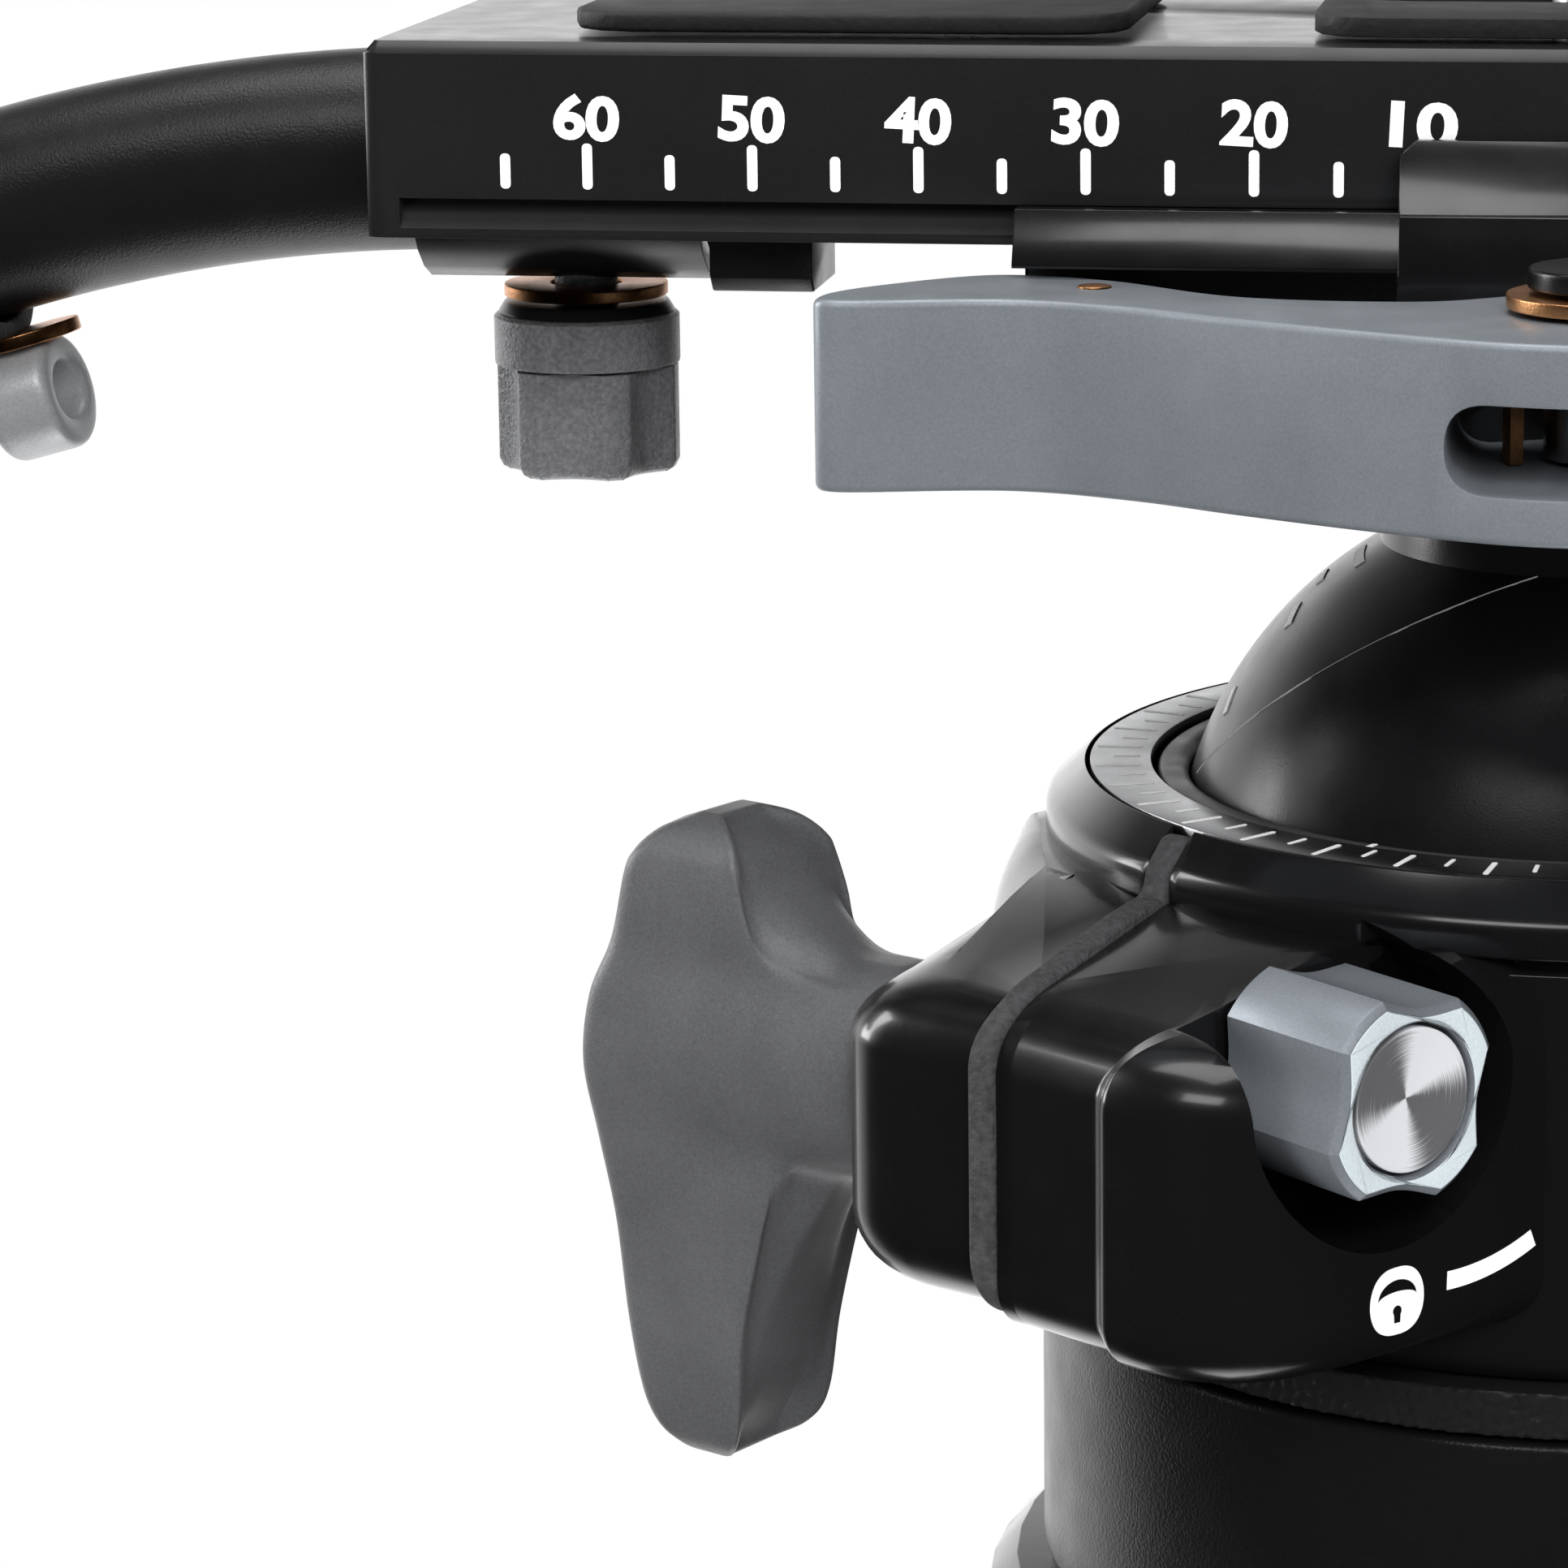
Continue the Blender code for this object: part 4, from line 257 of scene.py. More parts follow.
def mesh_of(name, skins):
    """One mesh from several skins, its doubles merged and its normals outwards."""
    starts = np.cumsum([0] + [len(each[0]) for each in skins])
    quads = np.concatenate([each[1] + start for each, start in zip(skins, starts)])
    caps = [(cap + start).tolist() for each, start in zip(skins, starts) for cap in each[2]]
    mesh = bpy.data.meshes.new(name)
    mesh.from_pydata(np.concatenate([each[0] for each in skins]).tolist(), [], quads.tolist() + caps)
    chart = np.zeros((len(mesh.loops), 2))
    flat = np.concatenate([each[3] for each in skins])
    chart[:len(flat)] = flat * MM
    mesh.uv_layers.new(name="UVMap").data.foreach_set("uv", chart.ravel())
    return cleaned(mesh)


def cleaned(mesh, flat=None):
    """Merge doubles, drop faces without area, and turn a closed mesh's normals outwards."""
    work = bmesh.new()
    work.from_mesh(mesh)
    bmesh.ops.remove_doubles(work, verts=work.verts, dist=2e-6)
    bmesh.ops.dissolve_degenerate(work, edges=work.edges, dist=1e-6)
    if flat:
        bmesh.ops.dissolve_limit(work, angle_limit=flat, verts=work.verts, edges=work.edges)
    bmesh.ops.recalc_face_normals(work, faces=work.faces)
    work.to_mesh(mesh)
    work.free()
    return mesh


def linked(name, data):
    """An object that holds the data, put into the scene."""
    thing = bpy.data.objects.new(name, data)
    bpy.context.collection.objects.link(thing)
    return thing


def body_with(node):
    """Name of the body that a solid belongs to."""
    return body_of(frame["nodes"][node])[0]


def shown(name, mesh, finish, node=None, body=None, sharp=34, edge=None):
    """An object at the origin with its finish. It stands for a solid, whose own mesh it hides,
    and rides on its body, or it only rides on a body."""
    mesh.materials.clear()
    # The black and blue-grey edge finishes are lighter than their faces: worn anodising, and a painted
    # highlight on the bevels.
    for each in (finish, edge) if edge else (finish,):
        mesh.materials.append(each)
    mesh.shade_smooth()
    mesh.set_sharp_from_angle(angle=math.radians(sharp))
    thing = linked(name, mesh)
    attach(thing, body or body_with(node))
    if node:
        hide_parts(node)


def turned_piece(name, profile, spot, finish, node=None, sides=96, along=False, body=None):
    shown(name, mesh_of(name, [lathe(profile, spot, sides, along)]), finish, node, body)


# %% [markdown]
# Some shapes are easier to take away than to draw, such as a bore through a rounded lug. A
# cutter is a sharp prism or a rod, the Boolean modifier takes it out of the mesh, and the
# Bevel modifier then breaks the edges that it left. Each modifier's result becomes a mesh.

# %% Cutters and broken edges
SHARP_RIM = 0.0001
CLEAR = 40  # cutters reach this far past the part


def prism(outline, low, high, spot):
    return mesh_of("prism", [slab(outline, low, high, SHARP_RIM, spot, 1)])


def rod(radius, low, high, spot, sides=96):
    return mesh_of("rod", [lathe([(0, low), (radius, low), (radius, high), (0, high)], spot, sides)])


def evaluated(thing):
    """A new mesh of an object as its modifiers leave it. The object is removed."""
    bpy.context.view_layer.update()
    mesh = bpy.data.meshes.new_from_object(thing.evaluated_get(bpy.context.evaluated_depsgraph_get()))
    bpy.data.objects.remove(thing, do_unlink=True)
    return mesh


def cut_away(mesh, *tools):
    """Take other meshes out of a mesh."""
    keeper = linked("keeper", mesh)
    cutters = [linked("cutter", tool) for tool in tools]
    for cutter in cutters:
        modifier = keeper.modifiers.new("cut", "BOOLEAN")
        modifier.operation, modifier.object = "DIFFERENCE", cutter
    result = evaluated(keeper)
    for cutter in cutters:
        bpy.data.objects.remove(cutter, do_unlink=True)
    return cleaned(result)


def edged(mesh, width, angle=30):
    """The mesh with its sharp edges rounded, and the rounding in the second material."""
    while len(mesh.materials) < 2:
        mesh.materials.append(None)
    thing = linked("edged", mesh)
    bevel = thing.modifiers.new("edges", "BEVEL")
    bevel.width, bevel.segments, bevel.material = width * MM, 2, 1
    bevel.limit_method, bevel.angle_limit = "ANGLE", math.radians(angle)
    bevel.use_clamp_overlap = True
    return evaluated(thing)


def blunted(mesh, width):
    """The mesh with the rims of its two end faces, the ones across X, rounded."""
    work = bmesh.new()
    work.from_mesh(mesh)
    reach = max(vert.co.x for vert in work.verts), min(vert.co.x for vert in work.verts)
    rims = [edge for edge in work.edges
            if any(all(abs(vert.co.x - end) < 1e-6 for vert in edge.verts) for end in reach)]
    bmesh.ops.bevel(work, geom=rims, offset=width * MM, segments=4, profile=0.5, affect="EDGES",
                    clamp_overlap=False)
    work.to_mesh(mesh)
    work.free()
    return mesh


def joined(meshes):
    """One mesh that holds several, their materials kept by number."""
    work = bmesh.new()
    for mesh in meshes:
        work.from_mesh(mesh)
    result = bpy.data.meshes.new("joined")
    work.to_mesh(result)
    work.free()
    return result


def solid_copy(node):
    """A copy of a solid's own mesh, merged and with its flat faces joined up."""
    mesh = frame["nodes"][node].data.copy()
    mesh.materials.clear()
    return cleaned(mesh, flat=math.radians(0.6))


# %% [markdown]
# Finishes. Every finish starts from a Principled shader and reads Object coordinates, so a
# pattern keeps its true size on every piece. The grain of a blasted or coated surface is a
# fine noise that tilts the surface a little, a slower noise varies how rough it is, and a
# still slower one its tone. The metal parts of this head are all anodised aluminium, and
# they differ mostly in how coarse that grain is.

# %% Node helpers
def feed(tree, node, inputs):
    """Link sockets into a node's inputs, or set the inputs to values."""
    for key, value in dict(inputs).items():
        if isinstance(value, bpy.types.NodeSocket):
            tree.links.new(value, node.inputs[key])
        else:
            node.inputs[key].default_value = value


def add(tree, kind, inputs=(), **settings):
    """A new shader node with its settings and its inputs."""
    node = tree.nodes.new("ShaderNode" + kind)
    for key, value in settings.items():
        setattr(node, key, value)
    feed(tree, node, inputs)
    return node


def new_material(name):
    material = bpy.data.materials.new(name)
    material.use_nodes = True
    return material, material.node_tree, material.node_tree.nodes["Principled BSDF"]


def calc(tree, operation, *inputs):
    return add(tree, "Math", enumerate(inputs), operation=operation).outputs[0]


def noise(tree, coords, size, detail=2.0, seed=0.0):
    """Noise whose grains are about size millimetres."""
    moved = add(tree, "Mapping", {"Vector": coords, "Location": (seed, seed * 0.7, seed * 0.3)})
    return add(tree, "TexNoise", {"Vector": moved.outputs["Vector"], "Scale": 1 / (size * MM),
                                  "Detail": detail}).outputs["Fac"]


def between(tree, value, low, high, start=0.3, end=0.7, smooth=False):
    """value from start to end becomes low to high."""
    limits = {"From Min": start, "From Max": end, "To Min": low, "To Max": high}
    return add(tree, "MapRange", {"Value": value, **limits},
               interpolation_type="SMOOTHSTEP" if smooth else "LINEAR").outputs["Result"]


def tinted(tree, fac, dark, light):
    """A colour that goes from dark to light as fac goes from 0.3 to 0.7."""
    ramp = add(tree, "ValToRGB", {"Fac": fac})
    for element, position, colour in zip(ramp.color_ramp.elements, (0.3, 0.7), (dark, light)):
        element.position, element.color = position, (*colour, 1)
    return ramp.outputs["Color"]


def finish_of(name, colour, roughness, metallic=0.0, grain=0.15, bump=0.1, tone=0.14,
              specular=0.5, coat=0.0, stretch=None):
    """colour x (1 - tone .. 1 + tone), roughness +- an eighth, and a bump of the grain's size."""
    material, tree, shader = new_material(name)
    coords = add(tree, "TexCoord").outputs["Object"]
    if stretch:
        coords = add(tree, "Mapping", {"Vector": coords, "Scale": stretch}).outputs["Vector"]
    colour, spread = np.array(colour), 0.12
    clouds, flecks = noise(tree, coords, 9.0, 4.0, 0.3), noise(tree, coords, grain * 1.6, 1.0, 0.9)
    mixed = calc(tree, "MULTIPLY", calc(tree, "ADD", clouds, flecks), 0.5)
    wear = noise(tree, coords, 3.0, 5.0, 0.5)
    relief = add(tree, "Bump", {"Height": noise(tree, coords, grain, 2.0, 0.1), "Strength": bump,
                                "Distance": grain * MM * 0.5})
    feed(tree, shader, {
        "Base Color": tinted(tree, mixed, colour * (1 - tone), colour * (1 + tone)),
        "Roughness": between(tree, wear, roughness * (1 - spread), roughness * (1 + spread)),
        "Normal": relief.outputs["Normal"], "Metallic": metallic, "Specular IOR Level": specular,
        "Coat Weight": coat, "Coat Roughness": 0.12})
    return material


# %% [markdown]
# Woven carbon is a two over two twill: every tow passes over two tows and under two, one step
# further along in each row. With u and v counted in tows round and along the tube, a lengthwise
# tow is on top where (whole u + whole v) modulo 4 is under 2. The height falls off with the
# square of the distance from the middle of the tow that lies on top, and its fibres are noise
# stretched along it. Clear lacquer lies over all of it, as a coat.
#
# A turned disc has fine cuts round its middle. Its colour carries a painted sheen, two bright
# wedges of painted highlight: the third power of |cos a|, with a the angle round the disc. Noise
# along the radius gives the single cuts.

# %% Woven carbon and a turned face
def woven(name, tow=2.0):
    """Tows of a width in millimetres: height = 1 - (distance from the tow's middle)^2."""
    material, tree, shader = new_material(name)
    chart = add(tree, "UVMap", uv_map="UVMap").outputs["UV"]
    parts = add(tree, "SeparateXYZ", {"Vector": chart}).outputs
    u, v = (calc(tree, "MULTIPLY", parts[axis], 1 / (tow * MM)) for axis in "XY")
    whole = calc(tree, "ADD", calc(tree, "FLOOR", u), calc(tree, "FLOOR", v))
    lengthwise = calc(tree, "LESS_THAN", calc(tree, "FLOORED_MODULO", whole, 4.0), 1.5)
    fine, coarse = 9000, 500
    domes, fibres = [], []
    for across, scale in ((u, (fine, coarse, 1)), (v, (coarse, fine, 1))):
        aside = calc(tree, "ABSOLUTE", calc(tree, "SUBTRACT", calc(tree, "FRACT", across), 0.5))
        domes.append(calc(tree, "SUBTRACT", 1.0, calc(tree, "POWER", aside, 2.0)))
        stretched = add(tree, "Mapping", {"Vector": chart, "Scale": scale}).outputs["Vector"]
        strands = add(tree, "TexNoise", {"Vector": stretched, "Scale": 1.0, "Detail": 2.0})
        fibres.append(strands.outputs["Fac"])
    dome, fibre = (add(tree, "Mix", {0: lengthwise, 2: pair[1], 3: pair[0]},
                       data_type="FLOAT").outputs[0] for pair in (domes, fibres))
    # Lengthwise tows are painted lighter than crosswise ones, 1.15 against 0.75: a painted sheen for the
    # light that fibres throw back along their length.
    shade = calc(tree, "MULTIPLY", fibre, between(tree, lengthwise, 0.75, 1.15, 0, 1))
    height = calc(tree, "MULTIPLY_ADD", fibre, 0.06, dome)
    relief = add(tree, "Bump", {"Height": height, "Strength": 0.75, "Distance": 0.00022})
    feed(tree, shader, {
        "Base Color": tinted(tree, shade, (0.007, 0.007, 0.008), (0.046, 0.047, 0.050)),
        "Roughness": between(tree, fibre, 0.28, 0.46), "Normal": relief.outputs["Normal"],
        "Metallic": 0.35, "Coat Weight": 0.8, "Coat Roughness": 0.10})
    return material


def spun(name, radius, first_painted_wedge=0.6, cut=0.07):
    """Colour with a painted sheen |cos(angle + first wedge)|^3, plus 0.9 x noise along the radius - 0.35."""
    material = finish_of(name, (0.50, 0.51, 0.53), 0.32, 0.45, 0.12, 0.08)
    tree = material.node_tree
    chart = add(tree, "UVMap", uv_map="UVMap").outputs["UV"]
    parts = add(tree, "SeparateXYZ", {"Vector": chart}).outputs
    angle = calc(tree, "MULTIPLY_ADD", parts["X"], 1 / (radius * MM), first_painted_wedge)
    # Painted highlight: two bright wedges round the disc, put into its colour.
    painted_sheen = calc(tree, "POWER", calc(tree, "ABSOLUTE", calc(tree, "COSINE", angle)), 3.0)
    cuts = calc(tree, "MULTIPLY_ADD", noise(tree, parts["Y"], cut, 1.0), 0.9, -0.35)
    shade = tinted(tree, calc(tree, "ADD", painted_sheen, cuts), (0.16, 0.16, 0.17), (0.92, 0.94, 0.97))
    tangent = add(tree, "Tangent", direction_type="UV_MAP", uv_map="UVMap").outputs[0]
    feed(tree, tree.nodes["Principled BSDF"], {"Base Color": shade, "Anisotropic": 0.85,
                                               "Tangent": tangent})
    return material


# %% [markdown]
# The finishes themselves, each as a colour, a roughness, how metallic it is, the size of its
# grain in millimetres and how strongly that grain tilts the surface. Anodising that looks
# black still mirrors the room, so the blacks are dark colours with a clear reflection rather
# than metals. Solids that are shown as they are take the finish of their own slot.

# %% Finishes of the parts
DISH_RADIUS = 4.2
gloss_black = finish_of("black_anodised_aluminium", (0.0045, 0.0045, 0.005), 0.26, 0.0, 0.10, 0.05,
                        specular=0.4, coat=0.5)
rail_black = finish_of("black_anodised_rail", (0.010, 0.010, 0.0105), 0.30, 0.0, 0.10, 0.06,
                       specular=0.4, coat=0.1)
# Lighter than the face: worn anodising, and a painted highlight along the broken edges.
gloss_black_worn_edge_highlight = finish_of("black_anodised_edge", (0.11, 0.11, 0.115), 0.28, 0.15, 0.10, 0.05)
satin_black = finish_of("satin_black_aluminium", (0.005, 0.005, 0.0055), 0.30, 0.0, 0.14, 0.12,
                        specular=0.45)
tube_black = finish_of("blasted_black_tube", (0.006, 0.006, 0.0065), 0.36, 0.0, 0.17, 0.35)
dial_grey = finish_of("dial_ring_aluminium", (0.36, 0.365, 0.375), 0.30, 1.0, 0.12, 0.12)
seal_black = finish_of("seal_ring", (0.10, 0.10, 0.105), 0.42, 0.6, 0.2, 0.12)
cast_black = finish_of("pebbled_rubber", (0.009, 0.009, 0.009), 0.46, 0.0, 0.25, 0.25)
powder_black = finish_of("black_powder_coat", (0.005, 0.005, 0.0055), 0.34, 0.0, 0.22, 0.42)
blue_grey = finish_of("blue_grey_anodised_aluminium", (0.26, 0.283, 0.31), 0.44, 0.55, 0.10, 0.12)
# Far lighter than the lever's face: worn anodising, and a painted highlight along its edges.
blue_grey_edge = finish_of("blue_grey_edge", (0.66, 0.69, 0.71), 0.34, 0.3, 0.10, 0.05)
dark_grey = finish_of("dark_grey_blasted_aluminium", (0.135, 0.137, 0.142), 0.42, 0.45, 0.12, 0.45,
                      tone=0.22)
knob_grey = finish_of("coarse_blasted_aluminium", (0.20, 0.202, 0.21), 0.36, 0.5, 0.20, 1.0, tone=0.40)
pale_face = finish_of("pale_machined_face", (0.52, 0.58, 0.61), 0.45, 0.1, 0.10, 0.05)
pale_grey = finish_of("pale_grey_blasted_aluminium", (0.40, 0.41, 0.42), 0.42, 0.6, 0.13, 0.25)
copper = finish_of("copper_washer", (0.62, 0.30, 0.13), 0.34, 1.0, 0.13, 0.35, tone=0.25)
steel = finish_of("turned_steel", (0.42, 0.42, 0.43), 0.30, 1.0, 0.12, 0.08, stretch=(1, 1, 8))
turned_disc = spun("turned_disc", DISH_RADIUS)
rubber = finish_of("black_rubber", (0.013, 0.013, 0.013), 0.66, 0.0, 0.5, 0.30)
acetal = finish_of("grey_acetal", (0.25, 0.25, 0.25), 0.5, 0.0, 0.4, 0.08)
white_print = finish_of("white_print", (0.78, 0.78, 0.77), 0.55, 0.0, 0.08, 0.10, tone=0.08)
grey_print = finish_of("grey_print", (0.34, 0.34, 0.34), 0.55, 0.0, 0.08, 0.10, tone=0.08)
gasket_cord = finish_of("woven_gasket", (0.042, 0.042, 0.044), 0.75, 0.0, 0.35, 1.0, tone=0.45)
carbon_weave = woven("carbon_twill")
SLOT_FINISH = {"black_anodised": gloss_black, "satin_black": satin_black, "powder_black": powder_black,
               "blue_grey_anodised": blue_grey, "dark_grey_satin": dark_grey, "copper": copper,
               "steel": steel, "rubber": rubber, "carbon": satin_black, "grey_acetal": acetal}
slot_of = {}
for node, thing in frame["nodes"].items():
    if thing.data.materials and thing.data.materials[0]:
        slot = thing.data.materials[0].name.split(".")[0]
        for key, finish in SLOT_FINISH.items():
            if key in slot:
                thing.data.materials[0] = finish
                slot_of[node] = key
print("finishes:", len(bpy.data.materials), "slots known for:", len(slot_of))

# %% [markdown]
# The rail, the clamp and the apex are milled bars. Their solids are already right, so a copy
# of each only needs its edges broken, as a deburring pass leaves them. The bevel's faces get
# a finish of their own, a little brighter and smoother: anodising is thinner there and hands
# polish it, and the brighter colour is also a painted highlight along each edge.

# %% Milled parts with their edges broken
LEG_NAMES = ["leg_%d_" % (number + 1) for number in range(3)]
MILLED = [("rail", 0.12, rail_black), ("clamp_body", 0.25, gloss_black), ("apex", 0.40, gloss_black),
          ("stop_block", 0.15, satin_black), ("handle_socket", 0.15, satin_black)]
MILLED += [(leg + "shoulder", 0.35, gloss_black) for leg in LEG_NAMES]
for node, width, finish in MILLED:
    mesh = solid_copy(node)
    mesh = edged(blunted(mesh, 0.7) if node == "rail" else mesh, width)
    shown(node + "_milled", mesh, finish, node, edge=gloss_black_worn_edge_highlight)
    print(node, "faces:", len(mesh.polygons))

# %% [markdown]
# Pads, screws and pins are small or mostly hidden. They are copies of their solids too, with
# one finish on the faces and on the broken edges alike.

# %% Small parts
SMALL = [(node, 0.3) for node in ("pad_left", "pad_middle", "pad_right")]
SMALL += [(node, 0.1) for node in ("camera_screw", "column_screw", "draw_rod", "wing_screw", "star_spindle")]
SMALL += [(leg + "hinge_pin", 0.15) for leg in LEG_NAMES]
for node, width in SMALL:
    finish = SLOT_FINISH[slot_of[node]]
    shown(node + "_finished", edged(solid_copy(node), width), finish, node, edge=finish)
print("small parts:", len(SMALL))

# %% [markdown]
# The clamp's front jaw has sloping faces that catch the light from above, and its raised
# block has its corners cut off. Long wedges take those corners from a copy of the solid.

# %% Front jaw
ALONG = shifted(RAIL, (0, 0, 0), (Y, Z, X))
ACROSS_JAW = shifted(RAIL, (0, 0, 0), (X, Z, Y))
BLOCK_END = 11.2
slope_wedge = [(-22.9, -1.0), (-20.9, 2.6), (-30, 2.6), (-30, -1.0)]
block_wedge = [(-23.4, 4.4), (-20.6, 6.8), (-30, 6.8), (-30, 4.4)]
tools = [prism(slope_wedge, -CLEAR, -BLOCK_END, ALONG), prism(slope_wedge, BLOCK_END, CLEAR, ALONG),
         prism(block_wedge, -CLEAR, CLEAR, ALONG)]
for way in (-1, 1):
    corner = [(way * 12.0, 5.0), (way * 10.0, 7.0), (way * 14, 7.0), (way * 14, 5.0)][::way]
    tools.append(prism(corner, -CLEAR, 0, ACROSS_JAW))
jaw = edged(cut_away(solid_copy("front_jaw"), *tools), 0.18)
shown("front_jaw_milled", jaw, gloss_black, "front_jaw", edge=gloss_black_worn_edge_highlight)
print("jaw faces:", len(jaw.polygons))

# %% [markdown]
# The ball is a sphere of 26.5 mm that runs up into a neck. A lathe profile gives it: the
# sphere as (26.5 cos a, 26.5 sin a), then the neck and its flange with eased corners. The
# rings round it, the column and the washers are profiles too, closed where they have a bore.

# %% Ball, rings and column
BALL_RADIUS = 26.5
BALL = shifted(HEAD, (0, 0, -8.7))
neck = eased([(13.3, 24.2), (13.0, 26.4), (17, 28.6), (17, 30.8), (0, 30.8)], 0.5)
rise = np.radians(np.linspace(-90, 59.5, 64))
sphere = BALL_RADIUS * np.stack([np.cos(rise), np.sin(rise)], 1)
turned_piece("ball_turned", np.concatenate([sphere, neck]), BALL, satin_black, "ball", 160)

dial_rim = eased([(27.9, -1.9), (31.8, -1.9), (31.8, 0), (27.9, 0)], 0.12, 2, closed=True)
lip = eased([(26.55, -4.5), (27.5, -4.5), (27.5, -0.35), (26.0, -0.30), (25.35, -1.0), (26.0, -2.2)],
            0.45, 4, closed=True)
wall = eased([(4.9, -52.7), (33.7, -52.7), (34.9, -51.5), (34.9, -33.4), (29.3, -33.4), (29.3, -42.0),
              (4.9, -42.0)], [0, 0.6, 0.6, 0.5, 0.2, 0.2, 0], 4, closed=True)
for name, profile, finish, node in (("scale_ring_turned", dial_rim, dial_grey, "scale_ring"),
                                    ("dust_ring_moulded", lip, seal_black, "dust_ring"),
                                    ("column_coated", wall, powder_black, "base_column")):
    turned_piece(name, profile, HEAD, finish, node, 180, along=True)
print("turned pieces: 4")

# %% [markdown]
# The grip ring under the housing is cast with a pebbled band. Its radius is the ring's own
# plus a field of pebbles: the mean of waves in mixed directions, cut off below zero, so that
# it leaves round bumps with narrow valleys.

# %% Pebbled ring
def pebbles(u, v, size, count, seed):
    """Mean of cosines of waves in random directions, raised so that bumps stay round."""
    rng = np.random.default_rng(seed)
    turn, phase = rng.uniform(0, 2 * np.pi, (2, count))
    pitch = 2 * np.pi / (size * rng.uniform(0.8, 1.3, count))
    wave = np.cos(pitch * (np.cos(turn) * u[..., None] + np.sin(turn) * v[..., None]) + phase)
    return np.clip(wave.mean(-1) * 2.2 * np.sqrt(count) / 3 + 0.35, 0, 1)


GRIP_OUTER, PEBBLE_HEIGHT, PEBBLE_SIZE = 34.45, 0.15, 0.75
turn = full_turn(900)
band = eased([(29.3, -33.1), (GRIP_OUTER, -33.1), (GRIP_OUTER, -30.3), (29.3, -30.3)], 0.25, 3, closed=True)
side_wall = np.stack([np.full(12, GRIP_OUTER), np.linspace(-32.8, -30.6, 12)], 1)
band = np.concatenate([band[:8], side_wall, band[8:]])
radius, height = band[:, :1] + 0 * turn, band[:, 1:] + 0 * turn
field = pebbles(turn[None] * 34.4 + 0 * height, height, PEBBLE_SIZE, 14, 5)
radius = radius + np.where(radius > 34.3, PEBBLE_HEIGHT * field, 0)
grip_ring = mesh_of("grip_ring", [skin(revolved(radius, height, turn), HEAD, along=True)])
shown("grip_ring_cast", grip_ring, cast_black, "textured_ring")
print("grip ring faces:", len(grip_ring.polygons))

# %% [markdown]
# The clamp housing is a split ring with two lugs. The ring is turned. Each lug is a stack of
# outlines: its own outline drawn in by R (1 - sin t) at a height of R (1 - cos t) from its
# top and its bottom, which rounds both rims. Points past the seam are moved onto it, and the
# upper part slopes down outwards.

# %% Housing
SEAM_START, SEAM_END = 9.0, 11.0
RING_BORE, FACE_OUT, LUG_TIP, LUG_TOP = 31.8, 22.8, 50.5, -3.9
SLOPE_START, SLOPE_RUN, SLOPE_DROP = 34.5, 16.0, 3.0
SCREW_BORE, SPINDLE_BORE, POCKET_RADIUS, POCKET_FLOOR = 3.4, 2.4, 9.2, 13.9


def lug_place(along_wing, along_lug):
    """A place in plan by its distances along the wing knob's axis and along the lugs."""
    return along_wing * level(WING_AT)[:2] + along_lug * level(LUG_AT)[:2]


def face_place(outward, sideways):
    """A place in plan by its distances along the star knob's axis and across it."""
    out = level(STAR_AT)
    return outward * out[:2] + sideways * np.array([out[1], -out[0]])


def drawn_in(points, distance):
    """Corners of an outline moved in by distance (n1 + n2) / (1 + n1 . n2), where n1 and n2
    are the inward normals of the sides that meet there."""
    way = np.roll(points, -1, 0) - points
    way = way / np.linalg.norm(way, axis=1, keepdims=True)
    after = np.stack([-way[:, 1], way[:, 0]], 1)
    before = np.roll(after, 1, 0)
    mitre = np.maximum(1 + (before * after).sum(1), 0.6)
    return points + np.reshape(distance, (-1, 1)) * (before + after) / mitre[:, None]


def sloped(points, height):
    """Points lowered by drop x (3 s^2 - 2 s^3), where s runs 0 to 1 from the flange outwards,
    in full on the lugs' tops and fading to nothing 13 mm down."""
    s = np.clip((np.linalg.norm(points[..., :2], axis=-1) - SLOPE_START) / SLOPE_RUN, 0, 1)
    lowered = np.array(points, float)
    lowered[..., 2] -= SLOPE_DROP * (3 * s ** 2 - 2 * s ** 3) * np.clip((height + 13) / 9, 0, 1)
    return lowered


def lug(points, radii, weights, low_weights, low, top_round, bottom_round, seam, side):
    """Stack of eased outlines, closed by rings that shrink to a point, clipped at the seam,
    and sloped down outwards. A corner's weight says how much of a rim's rounding it takes."""
    t = np.linspace(0, np.pi / 2, 12)
    levels = np.concatenate([low + bottom_round * (1 - np.cos(t)),
                             LUG_TOP - top_round * (1 - np.cos(t[::-1]))])
    draws = np.concatenate([0.82 * bottom_round * (1 - np.sin(t)), 0.82 * top_round * (1 - np.sin(t[::-1]))])
    radii = np.asarray(radii, float)
    shares = [np.asarray(low_weights, float)] * len(t) + [np.asarray(weights, float)] * len(t)
    rows = np.array([eased(drawn_in(points, draw * share), np.maximum(radii - draw * 0.6, 0.02), 10,
                           closed=True) for draw, share in zip(draws, shares)])
    middle = np.asarray(points, float).mean(0)
    shrink = np.array([0, 0.15, 0.35, 0.6, 0.85])[:, None, None]
    rows = np.concatenate([middle + (rows[:1] - middle) * shrink, rows,
                           middle + (rows[-1:] - middle) * shrink[::-1]])
    levels = np.concatenate([[levels[0]] * 5, levels, [levels[-1]] * 5])
    grid = np.concatenate([rows, np.broadcast_to(levels[:, None, None], rows.shape[:2] + (1,))], -1)
    wing = level(WING_AT)[:2]
    over = side * (grid[..., :2] @ wing - seam)
    grid[..., :2] -= side * np.minimum(over, 0)[..., None] * wing
    return skin(sloped(grid, grid[..., 2]), HEAD)


